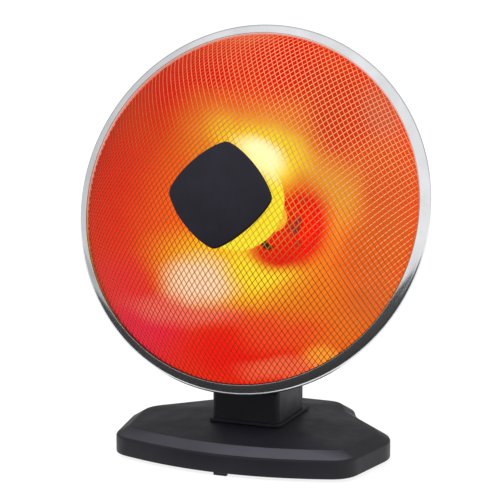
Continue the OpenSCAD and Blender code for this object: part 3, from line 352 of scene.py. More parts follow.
class Finish:
    """A material under construction: its nodes, and its main shader."""

    def __init__(self, name):
        self.material = bpy.data.materials.new(name)
        self.material.use_nodes = True
        self.tree = self.material.node_tree
        self.shader = self.tree.nodes["Principled BSDF"]
        self.place = self.add("TexCoord", {})["Object"]

    def add(self, kind, inputs, **settings):
        """The outputs of a new node; an input is a number, a colour, or another node's output."""
        return new_node(self.tree, kind, inputs, settings).outputs

    def set(self, **values):
        """Values and links of the main shader's own sockets."""
        feed(self.tree, self.shader.inputs, {key.replace("_", " "): value for key, value in values.items()})

    def math(self, operation, a, b, clamp=False):
        """One operation on two numbers."""
        return self.add("Math", {0: a, 1: b}, operation=operation, use_clamp=clamp)[0]

    def vector(self, operation, a, b):
        """One operation on two vectors."""
        return self.add("VectorMath", {0: a, 1: b}, operation=operation)[0]

    def length(self, a):
        """Length of a vector."""
        return self.add("VectorMath", {0: a}, operation="LENGTH")["Value"]

    def noise(self, scale, detail, rough=0.55, stretch=(1, 1, 1)):
        """Cloudy pattern; scale is in waves per metre, stretch multiplies it along each axis."""
        where = self.add("Mapping", {"Vector": self.place, "Scale": stretch})[0]
        return self.add("TexNoise", {"Vector": where, "Scale": scale, "Detail": detail,
                                     "Roughness": rough})["Fac"]

    def rings(self, waves, detail, rough=0.5):
        """Fine lines round the head's axis, so many waves per metre outwards."""
        away = self.math("MULTIPLY", self.length(self.head_plane()), waves)
        return self.add("TexNoise", {"W": away, "Scale": 1.0, "Detail": detail, "Roughness": rough},
                        noise_dimensions="1D")["Fac"]

    def ramp(self, value, stops):
        """Colour read off a run of stops [(position, colour)]."""
        made = new_node(self.tree, "ValToRGB", {"Fac": value}, {})
        run = made.color_ramp.elements
        while len(run) < len(stops):
            run.new(0.5)
        for element, (position, colour) in zip(run, stops):
            element.position = position
            element.color = (*colour, 1)
        return made.outputs[0]

    def between(self, value, low, high, start=0.0, end=1.0):
        """A number carried from the range low..high to start..end, and held at its ends."""
        return self.add("MapRange", {"Value": value, "From Min": low, "From Max": high,
                                     "To Min": start, "To Max": end})[0]

    def cloud(self, scale, detail, start=0.0, end=1.0, rough=0.55, stretch=(1, 1, 1)):
        """A number that wanders from start to end in clouds."""
        return self.between(self.noise(scale, detail, rough, stretch), 0.3, 0.7, start, end)

    def stripe(self, value, low, high, soft):
        """One between low and high and nothing outside them; each edge fades over soft on both sides."""
        return self.math("MULTIPLY", self.between(value, low - soft, low + soft),
                         self.between(value, high + soft, high - soft))

    def mix(self, share, a, b):
        """Colour from a to b by a share from 0 to 1."""
        a, b = (c if isinstance(c, bpy.types.NodeSocket) else (*c, 1) for c in (a, b))
        return self.add("Mix", {0: share, 6: a, 7: b}, data_type="RGBA")[2]

    def bump(self, height, strength, distance):
        """Bump of the main shader; returns the finished material."""
        self.set(Normal=self.add("Bump", {"Height": height, "Strength": strength, "Distance": distance})[0])
        return self.material

    def head_place(self):
        """Coordinates in the head's own frame, in metres."""
        turn = Matrix.Rotation(-(math.pi / 2 - REST_TILT), 3, "X")
        shift = -(turn @ Vector(HEAD_AT * MM))
        return self.add("Mapping", {"Vector": self.place, "Location": shift, "Rotation": turn.to_euler()})[0]

    def head_plane(self):
        """The same, pressed flat onto the plane of the dish's mouth."""
        return self.vector("MULTIPLY", self.head_place(), (1, 1, 0))

    def near(self, at, x, y, across, up, full, share, turn):
        """Soft oval round a place of the head's plane: nothing at its edge, and the whole share within
        full of it. Its centre and reaches are in millimetres, its turn in degrees."""
        local = self.add("Mapping", {
            "Vector": at, "Location": (x * MM, y * MM, 0), "Rotation": (0, 0, math.radians(turn)),
            "Scale": (across * MM, up * MM, 1)}, vector_type="TEXTURE")[0]
        return self.add("MapRange", {"Value": self.length(local), "From Min": 1.0, "From Max": full,
                                     "To Min": 0.0, "To Max": share}, interpolation_type="SMOOTHSTEP")[0]


def grey(v):
    """A grey as a colour."""
    return (v, v, v)


def moulded(f, colour, smoothest, roughest, grain, specular):
    """Surface of moulded plastic: fine spark-eroded grain and slow changes of gloss."""
    f.set(Base_Color=colour, Roughness=f.cloud(60, 4, smoothest, roughest), Specular_IOR_Level=specular)
    return f.bump(f.noise(1900, 2, 0.6), grain, 0.3 * MM)


def moulded_plastic(name, dark, light, rough, grain, specular=0.2):
    """Black moulded plastic with slow changes of tone."""
    f = Finish(name)
    return moulded(f, f.mix(f.cloud(18, 5), dark, light), rough - 0.05, rough + 0.07, grain, specular)


def marked_dial(name, dark, light):
    """The knob's plastic, with a pale line above its middle that shows how far it is turned."""
    half_width, low, high, soft = 0.9 * MM, (KNOB_Z + 4.3) * MM, (KNOB_Z + 10.7) * MM, 0.1 * MM
    f = Finish(name)
    across, _, up = f.add("SeparateXYZ", {"Vector": f.place})
    line = f.math("MULTIPLY", f.stripe(across, -half_width, half_width, soft), f.stripe(up, low, high, soft))
    colour = f.mix(line, f.mix(f.cloud(18, 5), dark, light), (0.55, 0.55, 0.53))
    return moulded(f, colour, smoothest=0.37, roughest=0.49, grain=0.05, specular=0.2)


def highlight_band(name, plain, bright):
    """The sloping band round the deck: the moulded plastic again, with a painted highlight that makes it
    paler along its front, and the more so towards its right."""
    f = Finish(name)
    across, back, _ = f.add("SeparateXYZ", {"Vector": f.place})
    # Painted highlight: paler along the front of the band, rising towards its right.
    painted_highlight = f.math("MULTIPLY", f.between(back, -58 * MM, -76 * MM),
                    f.between(across, -80 * MM, 60 * MM, 0.42, 1.15))
    share = f.math("MULTIPLY", painted_highlight, f.cloud(26, 5, 0.85, 1.1), True)
    return moulded(f, f.mix(share, plain, bright), smoothest=0.40, roughest=0.50, grain=0.08, specular=0.24)


def plated_steel(name, tone, rough, metallic=1.0, streak=(1, 1, 1)):
    """Plated or sheet steel: light cloudiness, faint streaks and small changes of gloss."""
    f = Finish(name)
    darker = tuple(c * 0.94 for c in tone)
    gloss = f.between(f.noise(340, 4, 0.6, streak), 0.25, 0.75, rough * 0.75, rough * 1.3)
    f.set(Base_Color=f.mix(f.cloud(90, 5, rough=0.6, stretch=streak), darker, tone), Roughness=gloss,
          Metallic=metallic)
    return f.bump(f.noise(900, 3, 0.6, streak), 0.06, 0.2 * MM)


def plain_moulding(name, low, high, rough, coarse, specular, bump):
    """Nylon, rubber or fibre: two close tones in a cloudy mix and a fine surface."""
    f = Finish(name)
    f.set(Base_Color=f.mix(f.cloud(coarse, 5), low, high), Specular_IOR_Level=specular,
          Roughness=f.cloud(coarse * 2.5, 4, rough - 0.06, rough + 0.06))
    return f.bump(f.noise(coarse * 9, 3), bump, 0.3 * MM)


def bright_rim(name):
    """Polished rim: chrome with faint turning lines round the head's axis."""
    f = Finish(name)
    lines = f.rings(5200, 2)
    f.set(Base_Color=f.mix(f.cloud(35, 4), (0.66, 0.67, 0.69), (0.78, 0.79, 0.81)), Metallic=1.0,
          Roughness=f.between(lines, 0.3, 0.7, 0.10, 0.20))
    return f.bump(lines, 0.05, 0.1 * MM)


def lit_reflector(name):
    """Inside of the dish while the element glows; its glow is painted light of the element.

    The colour runs from orange in the middle to deep red at the mouth, and soft ovals at places of
    the dish's own plane paint the uneven light and shade: painted highlights where it is hottest, and
    painted shadow of the shield round the socket. Each spot's share is a smooth step of its distance.
    The places wander by up to 15 mm, so that no oval shows an even edge."""
    f = Finish(name)
    at = f.head_place()
    wander = f.add("TexNoise", {"Vector": at, "Scale": 16.0, "Detail": 3.0})["Color"]
    wander = f.vector("MULTIPLY", f.vector("SUBTRACT", wander, (0.5, 0.5, 0.5)), [30 * MM] * 3)
    at = f.vector("MULTIPLY", f.vector("ADD", at, wander), (1, 1, 0))
    colour = f.ramp(f.between(f.length(at), 0, DISH_R * MM), [
        (0.0, (0.88, 0.34, 0.015)), (0.35, (0.86, 0.26, 0.012)), (0.60, (0.82, 0.13, 0.010)),
        (0.82, (0.82, 0.055, 0.008)), (1.0, (0.80, 0.030, 0.008))])
    # Ovals of painted light and shade on the dish.
    light_and_shade_ovals = [  # centre x and y, reach across and up in millimetres, full within, share, turn, colour
        (6, 132, 62, 48, 0.25, 0.92, 0, (0.78, 0.006, 0.004)),
        (-34, 147, 50, 10, 0.20, 0.55, 0, (0.86, 0.200, 0.100)),
        (-76, 112, 80, 62, 0.25, 0.97, 0, (0.84, 0.002, 0.004)),
        (-140, 0, 52, 90, 0.25, 0.85, 0, (0.86, 0.022, 0.010)),
        (-92, 0, 45, 70, 0.25, 0.60, 0, (0.88, 0.110, 0.012)),
        (-128, -84, 50, 50, 0.25, 0.85, 0, (0.86, 0.020, 0.036)),
        (-90, -116, 60, 52, 0.25, 0.95, 0, (0.86, 0.012, 0.066)),
        (-12, -120, 80, 46, 0.25, 0.97, 0, (0.84, 0.002, 0.002)),
        (62, 92, 75, 60, 0.25, 0.90, 0, (0.62, 0.026, 0.006)),
        (106, 92, 42, 40, 0.25, 0.60, 0, (0.48, 0.120, 0.070)),
        (108, 40, 70, 50, 0.25, 0.80, 0, (0.58, 0.080, 0.010)),
        (104, -20, 76, 60, 0.25, 0.90, 0, (0.56, 0.105, 0.012)),
        (110, -72, 64, 50, 0.25, 0.90, 0, (0.58, 0.125, 0.018)),
        (74, -94, 64, 36, 0.25, 0.75, 0, (0.76, 0.200, 0.014)),
        (80, -122, 36, 16, 0.30, 0.85, 0, (0.90, 0.400, 0.040)),
        (44, -134, 64, 14, 0.20, 0.65, 0, (0.84, 0.190, 0.080)),
        (22, -98, 60, 30, 0.25, 0.80, 0, (0.84, 0.066, 0.016)),
        (40, -62, 60, 36, 0.25, 0.80, 0, (0.78, 0.210, 0.010)),
        (-64, -88, 62, 22, 0.30, 0.65, 0, (0.86, 0.190, 0.130)),
        (-34, -46, 84, 48, 0.25, 0.97, 0, (0.94, 0.56, 0.020)),
        (-60, -61, 42, 28, 0.25, 0.90, 0, (0.94, 0.68, 0.480)),
        (-14, -42, 36, 28, 0.25, 0.85, 0, (0.98, 0.76, 0.030)),
        (-28, 62, 82, 56, 0.25, 0.80, -12, (0.86, 0.34, 0.020)),
        # painted highlights: the hottest place, yellow round a white core
        (-16, 54, 66, 36, 0.30, 0.97, -26, (0.96, 0.76, 0.025)),
        (-21, 55, 36, 15, 0.30, 0.97, -30, (1.0, 1.0, 0.60)),
        (48, 20, 46, 46, 0.25, 0.70, 0, (0.70, 0.34, 0.025)),
        # painted shadow of the shield, round the socket
        (20, -2, 41, 46, 0.42, 1.0, 0, (0.72, 0.002, 0.003)),
        (-1, -25, 32, 22, 0.45, 1.0, 0, (0.72, 0.003, 0.003)),
    ]
    for *oval, turn, spot in light_and_shade_ovals:
        colour = f.mix(f.near(at, *oval, turn), colour, spot)
    f.set(Base_Color=f.mix(0.25, (0.08, 0.010, 0.006), colour), Metallic=1.0,
          Roughness=f.cloud(60, 4, 0.22, 0.34), Emission_Color=colour, Emission_Strength=0.86)
    return f.bump(f.noise(220, 3), 0.03, 0.3 * MM)


def spun_back(name):
    """Back of the dish: spun aluminium with fine rings round the axis."""
    f = Finish(name)
    rings = f.rings(900, 4, 0.65)
    f.set(Base_Color=f.mix(f.cloud(22, 5), grey(0.50), grey(0.66)), Metallic=1.0,
          Roughness=f.between(rings, 0.3, 0.7, 0.28, 0.46))
    return f.bump(rings, 0.16, 0.3 * MM)


def badge_paint(name):
    """Bare badge: satin dark navy paint with a slight orange-peel and a faint dusty change of tone."""
    f = Finish(name)
    f.set(Base_Color=f.mix(f.cloud(45, 5), (0.0056, 0.0042, 0.0100), (0.0080, 0.0064, 0.0138)),
          Roughness=f.cloud(130, 4, 0.38, 0.50), Specular_IOR_Level=0.25)
    return f.bump(f.noise(420, 3), 0.05, 0.3 * MM)


def lit_shield(name):
    """Shield plate lit from behind by the element, its glow painted: lemon yellow, with painted glare where
    the hottest place is.
    """
    f = Finish(name)
    at = f.head_plane()
    colour = f.ramp(f.between(f.length(at), 0, SHIELD_R * MM), [
        (0.0, (0.95, 0.60, 0.02)), (0.60, (1.0, 0.82, 0.03)), (0.95, (1.0, 0.88, 0.04)),
        (1.0, (0.98, 0.74, 0.03))])
    colour = f.mix(f.between(f.noise(70, 5), 0.35, 0.75, 0.0, 0.15), colour, (0.95, 0.55, 0.01))
    # Painted glare on the shield's upper edge.
    colour = f.mix(f.near(at, *ON_SHIELD), colour, GLARE)
    f.set(Base_Color=(0.20, 0.12, 0.02, 1), Metallic=1.0, Emission_Color=colour,
          Emission_Strength=0.95, Roughness=f.cloud(300, 4, 0.30, 0.45))
    return f.bump(f.noise(600, 3), 0.05, 0.2 * MM)


def lit_ceramic(name, low, high, shade_colour=None):
    """Ceramic, or small steel parts, in the light of the element, with a chalky grain. shade_colour is the
    colour of a patch of painted shade, where there is one."""
    f = Finish(name)
    glow = f.mix(f.cloud(160, 5), low, high)
    if shade_colour:
        # Painted shade: a dark, patchy place on the socket.
        patchy = f.between(f.noise(650, 3), 0.38, 0.58)
        glow = f.mix(f.math("MULTIPLY", f.near(f.head_plane(), *SOCKET_SHADE), patchy), glow, shade_colour)
    f.set(Base_Color=f.mix(0.85, glow, (0.03, 0.006, 0.005)), Roughness=0.8, Specular_IOR_Level=0.1,
          Emission_Color=glow, Emission_Strength=0.85)
    return f.bump(f.noise(1400, 3), 0.18, 0.3 * MM)


def lit_steel(name):
    """Small steel parts in the dish: painted light, yellow above the element, and painted shade, dark below
    it.
    """
    f = Finish(name)
    up = f.add("SeparateXYZ", {"Vector": f.head_place()})[1]
    ragged = f.cloud(200, 3, -4 * MM, 4 * MM)
    # Painted light above the element and painted shade below it.
    above = f.between(f.math("ADD", up, ragged), -8 * MM, 10 * MM)
    lit = f.mix(f.near(f.head_plane(), *ON_SHIELD), (0.98, 0.78, 0.03), GLARE)
    f.set(Base_Color=f.mix(above, (0.020, 0.012, 0.010), (0.30, 0.16, 0.03)), Metallic=0.8, Roughness=0.5,
          Emission_Color=f.mix(above, (0.030, 0.006, 0.003), lit), Emission_Strength=0.95)
    return f.bump(f.noise(900, 3), 0.1, 0.2 * MM)


def hot_wire(name):
    """Glowing resistance wire, brighter and duller along its turns."""
    f = Finish(name)
    heat = f.cloud(160, 3)
    f.set(Base_Color=f.mix(heat, (0.9, 0.3, 0.06), (1.0, 0.5, 0.14)), Roughness=0.6,
          Emission_Color=f.mix(heat, (1.0, 0.22, 0.02), (1.0, 0.50, 0.10)), Emission_Strength=2.2)
    return f.material


def guard_wire(name, toward, start, full, pale, dull=(0.34, 0.085, 0.038)):
    """Plated guard wire in the warm light of the dish, in painted light and shade: dark bronze where it is
    in painted shade, and paler in the direction toward, a painted highlight where its family of wires
    catches the light, from start millimetres off the axis to full. Its glow is painted light. It has a
    painted gold reflection over the shield and is lost in the painted glare over the hottest place."""
    f = Finish(name)
    at = f.head_plane()
    start, full, weakest = start * MM, full * MM, 0.12
    along = f.add("VectorMath", {0: at, 1: (*toward, 0)}, operation="DOT_PRODUCT")["Value"]
    ragged = f.cloud(120, 4, -10 * MM, 10 * MM)
    # Painted shade in the dull tone and painted highlight in the pale one, along toward.
    tone = f.ramp(f.between(f.math("ADD", along, ragged), start, full), [
        (0.0, dull), (0.40, (0.42, 0.170, 0.055)), (1.0, pale)])
    # Painted gold reflection of the shield and painted glare of the hottest place.
    shield_reflection, glare = f.near(at, *OVER_SHIELD), f.near(at, *OVER_GLARE)
    tone = f.mix(glare, f.mix(shield_reflection, tone, (0.66, 0.42, 0.04)), (1.0, 0.92, 0.40))
    # The wires' glow is painted light, strongest in the highlights, the reflection and the glare.
    glow = f.between(along, start, full, weakest, 0.26)
    glow = f.math("MAXIMUM", glow, f.between(shield_reflection, 0, 1, weakest, 0.42))
    glow = f.math("MAXIMUM", glow, f.between(glare, 0, 1, weakest, 0.75))
    f.set(Base_Color=tone, Metallic=1.0, Emission_Color=tone, Emission_Strength=glow,
          Roughness=f.cloud(500, 3, 0.24, 0.38))
    return f.material


black_plastic = moulded_plastic("black plastic", (0.0070, 0.0066, 0.0100), (0.0098, 0.0093, 0.0135),
                                rough=0.48, grain=0.10, specular=0.24)
highlit_band_plastic = highlight_band("front band with painted highlight", (0.0075, 0.0070, 0.0105), (0.060, 0.058, 0.073))
CONTROL_TONES = (0.010, 0.010, 0.013), (0.015, 0.015, 0.019)
control_plastic = moulded_plastic("control plastic", *CONTROL_TONES, rough=0.42, grain=0.05)
dial_plastic = marked_dial("dial plastic", *CONTROL_TONES)
plate_plastic = moulded_plastic("plate plastic", (0.020, 0.020, 0.022), (0.030, 0.030, 0.033),
                                rough=0.5, grain=0.14)
switch_plastic = moulded_plastic("switch plastic", (0.030, 0.029, 0.028), (0.045, 0.043, 0.040),
                                 rough=0.5, grain=0.1)
zinc_steel = plated_steel("zinc plated steel", (0.60, 0.60, 0.61), rough=0.30)
sheet_steel = plated_steel("sheet steel", (0.46, 0.46, 0.47), rough=0.38, streak=(1, 6, 1))
black_steel = plated_steel("blackened steel", (0.060, 0.058, 0.056), rough=0.42, metallic=0.6)
rubber = plain_moulding("rubber", grey(0.010), grey(0.018), rough=0.62, coarse=200, specular=0.3, bump=0.14)
nylon = plain_moulding("natural nylon", (0.66, 0.63, 0.54), (0.74, 0.71, 0.62),
                       rough=0.38, coarse=60, specular=0.5, bump=0.04)
red_ceramic = lit_ceramic("red lit ceramic", (0.74, 0.004, 0.004), (0.84, 0.010, 0.007),
                          shade_colour=(0.11, 0.022, 0.034))
gold_ceramic = lit_ceramic("gold lit ceramic", (0.90, 0.38, 0.02), (0.98, 0.55, 0.03))
lit_and_shaded_steel = lit_steel("lit steel")
red_steel = lit_ceramic("red lit steel", (0.55, 0.006, 0.005), (0.72, 0.012, 0.008))
fibre = plain_moulding("hard fibre", (0.20, 0.09, 0.045), (0.28, 0.14, 0.07),
                       rough=0.6, coarse=260, specular=0.35, bump=0.15)
rim_chrome = bright_rim("polished rim")
reflector_glow = lit_reflector("lit reflector")
reflector_back = spun_back("spun back")
badge_navy = badge_paint("badge paint")
shield_glow = lit_shield("lit shield")
coil_glow = hot_wire("hot wire")
# Each family's painted highlight lies in the direction toward: pale is its highlight colour, dull its shade.
rising_wire = guard_wire("rising guard wire", toward=(0.80, 0.60), start=-10, full=90,
                         pale=(0.92, 0.54, 0.24))
falling_wire = guard_wire("falling guard wire", toward=(0.40, 0.92), start=-20, full=90,
                          pale=(0.86, 0.42, 0.20))
# The hoop has its painted highlight at its top and its painted shade low down.
hoop_wire = guard_wire("guard hoop", toward=(0.0, 1.0), start=-120, full=60,
                       pale=(0.80, 0.50, 0.46), dull=(0.10, 0.022, 0.022))

# ---------------------------------------------------------------- head


def dish_height(r):
    """Parabola: -depth (1 - (r/R)^2), level inside the seat."""
    return -DISH_DEPTH * (1 - (np.maximum(r, SEAT_R) / DISH_R) ** 2)


def reflector():
    """Paraboloid z = -depth (1 - (r/R)^2) turned round the axis, with its flat seat, its flange, and
    the same line a sheet's thickness behind it: one closed run, in and back out."""
    bore, steps, count = 11.05, 72, 192
    r = np.linspace(SEAT_R, DISH_R, steps)
    front = np.concatenate([[[bore, SEAT_Z]], np.stack([r, dish_height(r)], -1), [[FLANGE_R, 0.0]]])
    front = eased(front, np.concatenate([[0.0, 2.5], np.zeros(steps - 2), [1.0, 0.0]]), 5)
    back = front - [0, SHEET]
    faces = np.repeat([0] * len(front) + [1] * len(back), count)
    return [turned(np.concatenate([front[::-1], back]), count, faces, True)]


def rim():
    """C-shaped band turned round the axis. Its front is crowned: the slope grows along its width from
    23 to 33 degrees, then to 52 at a narrow outer bead, and each point is the one before it plus a
    step along the slope. A tight shoulder leads to the flank, which is rolled in at the back."""
    sheet, bead, lip = 0.6, RIM_R - 0.5, RIM_R - 3.4
    along = np.linspace(DISH_R, bead, 25)
    slope = np.radians(np.interp(along, [DISH_R, RIM_R - 2.0, RIM_R - 1.6, bead], [23, 33, 38, 52]))
    fall = np.concatenate([[0], np.cumsum(np.tan((slope[1:] + slope[:-1]) / 2) * np.diff(along))])
    crown = np.stack([along, RIM_FRONT - fall], -1)
    low = crown[-1, 1]
    q = np.linspace(0, 1, 6)[:, None]
    a, b, c = crown[-1], np.array([RIM_R, low - 0.6]), np.array([RIM_R, low - 1.2])
    shoulder = ((1 - q) ** 2 * a + 2 * q * (1 - q) * b + q * q * c)[1:]
    roll = eased([(RIM_R, -1.6), (RIM_R, -4.4), (lip + 1.0, RIM_BACK), (lip, RIM_BACK)],
                 [0, 2.4, 0.7, 0], 8)
    inner = np.array([
        (lip, RIM_BACK + sheet), (lip + 0.4, RIM_BACK + sheet), (RIM_R - 1.2, -4.9),
        (RIM_R - sheet, -3.0), (RIM_R - sheet, low - 1.6)])
    under = crown[::-1] - [0.25, sheet]
    under[-1] = (DISH_R, RIM_FRONT - 0.9)
    loop = np.concatenate([crown, shoulder, roll, inner, under])
    return [turned(loop[::-1], 288, 0, True)]


def guard_grid():
    """Two families of wires and the hoop that holds their ends. Each wire lies on the dome in a plane
    square to the mouth, and the planes cut the dome at equal steps of arc: wire k of a family is at
    the offset d = R sin(k pitch / R), a circle of radius sqrt(R^2 - d^2) in its plane."""
    wire_r, steps, end_z, last = 0.29, 60, 1.0, DISH_R - 3
    families = ((-wire_r, math.radians(51.3), 4.40), (wire_r, math.radians(-58.4), 4.15))
    parts = []
    for finish, (layer, lean, pitch) in enumerate(families):
        count = int(DOME_R * math.asin(last / DOME_R) // pitch)
        offsets = DOME_R * np.sin(np.arange(-count, count + 1) * pitch / DOME_R)
        arc = np.sqrt((DOME_R + layer) ** 2 - offsets ** 2)
        reach = np.arccos((end_z - DOME_Z) / arc)
        s = np.linspace(-1, 1, steps)[None] * reach[:, None]
        x, z = arc[:, None] * np.sin(s), DOME_Z + arc[:, None] * np.cos(s)
        y = np.broadcast_to(offsets[:, None], x.shape)
        c, n = math.cos(lean), math.sin(lean)
        paths = np.stack([c * x - n * y, n * x + c * y, z], -1)
        side = np.broadcast_to(np.array([-n, c, 0.0]), paths.shape)
        parts.append(tubes(paths, wire_r, side, 5, finish))
    hoop = eased_loop([(HOOP_IN, HOOP_LOW), (HOOP_OUT, HOOP_LOW), (HOOP_OUT, HOOP_HIGH),
                       (HOOP_IN, HOOP_HIGH)], 1.1, 4)
    parts.append(turned(hoop, 192, 2, True))
    return parts


def badge_outline():
    """Diamond with sides |x/a|^p + |y/b|^p = 1 that bulge by the power p, its four corners eased by a
    running mean and the whole brought back to its full width and height."""
    bulge, soft, fine, even, count = 1.36, 5.0, 2000, 1200, 160
    half = np.array([BADGE_W / 2, BADGE_H / 2])
    t = (np.arange(fine) + 0.5) * TAU / fine
    turn = np.stack([np.cos(t), np.sin(t)], -1)
    line = spaced(np.sign(turn) * np.abs(turn) ** (2 / bulge) * half, even)
    near = int(soft / np.linalg.norm(line[1] - line[0]) / 2)
    line = sum(np.roll(line, k, 0) for k in range(-near, near + 1)) / (2 * near + 1)
    return spaced(line / np.abs(line).max(0) * half, count)


def badge():
    """Plate that follows the dome: the outline drawn in by steps, each ring lifted to a sphere, with
    a rolled edge (a quarter circle between the side and the front)."""
    outline = badge_outline()
    back, front, roll = DOME_R + 1.0, DOME_R + 3.6, 1.3

    def ring(points, radius):
        """A run of points lifted to a sphere round the dome's centre."""
        return np.concatenate([points, DOME_Z + np.sqrt(radius ** 2 - np.sum(points ** 2, 1))[:, None]], 1)

    shares = np.linspace(1, 0, 14)[1:-1]
    rings = [ring(k * outline, back) for k in shares[::-1]]
    rings += [ring(drawn_in(outline, 0.3), back), ring(outline, front - roll - 0.4)]
    for a in np.linspace(0, math.pi / 2, 6):
        rings.append(ring(drawn_in(outline, roll * (1 - math.cos(a))), front - roll * (1 - math.sin(a))))
    inner = drawn_in(outline, roll)
    rings += [ring(k * inner, front) for k in shares]
    return [lattice(np.stack(rings), False, (0, 0, DOME_Z + back), (0, 0, DOME_Z + front))]


def coil():
    """Helix of the element's wire: point (a cos t, a sin t, z0 + length t / (2 pi turns)), with both
    ends bent to run straight along the core."""
    bend, tail = 2.0, COIL_WIRE
    run = TAU * COIL_TURNS * COIL_AT
    q = np.linspace(0, math.pi / 2, 7)
    s = np.linspace(0, 1, 40 * COIL_TURNS + 1)[1:-1]
    flat = np.concatenate([
        [[0, -bend - tail]], np.stack([bend * (1 - np.cos(q)), bend * (np.sin(q) - 1)], -1),
        np.stack([bend + s * run, COIL_LEN * s], -1),
        np.stack([bend + run + bend * np.sin(q), COIL_LEN + bend * (1 - np.cos(q))], -1),
        [[2 * bend + run, COIL_LEN + bend + tail]]])
    t = flat[:, 0] / COIL_AT
    z0 = CORE_Z + (CORE_LEN - COIL_LEN) / 2
    path = np.stack([COIL_AT * np.cos(t), COIL_AT * np.sin(t), z0 + flat[:, 1]], -1)
    out = np.stack([np.cos(t), np.sin(t), np.zeros_like(t)], -1)
    return [tubes(path[None], COIL_WIRE / 2, out[None], 8)]


def core():
    """Ceramic rod turned from a profile with shallow ridges between its two collars."""
    bore, collar, wide, plain = 2.6, CORE_R + 4, 3, 4.2
    depth, pitch = 0.12, 2.1
    z = np.linspace(plain, CORE_LEN - plain, 160)
    ridge = CORE_R - depth + depth * np.cos(z * TAU / pitch)
    low = eased([(bore, 0), (collar, 0), (collar, wide), (CORE_R, wide), (CORE_R, plain)], 0.6, 3)
    high = eased([(CORE_R, CORE_LEN - plain), (CORE_R, CORE_LEN - wide), (collar, CORE_LEN - wide),
                  (collar, CORE_LEN), (bore, CORE_LEN)], 0.6, 3)
    side = np.concatenate([low, np.stack([ridge, z], -1)[1:-1], high, [[bore, 0.0]]])
    return [raised(turned(side, 48), CORE_Z)]


def socket():
    """Ceramic socket turned from a stepped profile; its tail goes through the dish's seat."""
    lip, thick, body, height, spigot, tail = 20, 4, 14, 14, 11, 8.35
    side = eased([(ROD_R, -tail), (spigot, -tail), (spigot, 0), (lip, 0), (lip, thick), (body, thick + 0.6),
                  (body, height), (ROD_R, height), (ROD_R, -tail)],
                 [0, 0.5, 0.2, 0.5, 0.8, 1.2, 1.2, 0, 0], 4)
    return [raised(turned(side, 64), SEAT_Z)]


def shield():
    """Shield plate: a sheet turned from a profile with a hub, a pressed step and a rolled edge."""
    sheet, high, pressed, edge = 0.7, 1.0, 0.75, 0.5
    hub, dip, step, foot, lip = 8.5, 11, 29, 31, 38.6
    top = eased([(ROD_R, high), (hub, high), (dip, high - 0.05), (step, high), (foot, pressed),
                 (lip, pressed), (SHIELD_R - 0.5, high), (SHIELD_R, edge)],
                [0, 1, 1.5, 1.2, 1.2, 1.5, 0.4, 0], 4)
    low = eased([(SHIELD_R, edge), (SHIELD_R - 0.4, 0.15), (lip, pressed - sheet), (foot, pressed - sheet),
                 (step, high - sheet), (dip, high - sheet), (hub, high - sheet), (ROD_R, high - sheet)],
                [0, 0.3, 1.5, 1.2, 1.2, 1.5, 1, 0], 4)
    loop = np.concatenate([low[::-1], top[::-1][1:], low[-1:]])
    return [raised(turned(loop, 128), SHIELD_Z)]


HEAD_PIECES = [  # new piece, surfaces, finishes, slot, node
    ("reflector", reflector(), [reflector_glow, reflector_back], "reflector", "reflector_dish"),
    ("rim", rim(), [rim_chrome], "chrome", "rim_band"),
    ("wire_guard", guard_grid(), [rising_wire, falling_wire, hoop_wire], "wire", "front_grille"),
    ("badge", badge(), [badge_navy], "badge", "badge_plate"),
    ("hot_coil", coil(), [coil_glow], "glowing_wire", "element_coil"),
    ("coil_core", core(), [gold_ceramic], "ceramic", "element_core"),
    ("coil_socket", socket(), [red_ceramic], "ceramic", "element_socket"),
    ("shield", shield(), [shield_glow], "shield", "shield_plate"),
]
for name, surfaces, finishes, slot, node in HEAD_PIECES:
    piece(name, surfaces, finishes, "head", node)

# ---------------------------------------------------------------- base


def base_outline():
    """The base seen from above: its corners joined by straight lines and eased by parabolas. The bowed
    front is one corner on the middle line, eased so far that it comes down to the base's front."""
    bow, count = 0.8, 320
    width, corner_y, _ = BASE_SIDE[0]
    bow_y = (-BASE_FRONT - bow / 2 * corner_y) / (1 - bow / 2)
    corners = [(0, bow_y, bow * math.hypot(width, corner_y - bow_y))] + BASE_SIDE
    corners = np.array(corners + [(-x, y, r) for x, y, r in BASE_SIDE[::-1]])
    return spaced(eased_loop(corners[:, :2], corners[:, 2], 16), count)


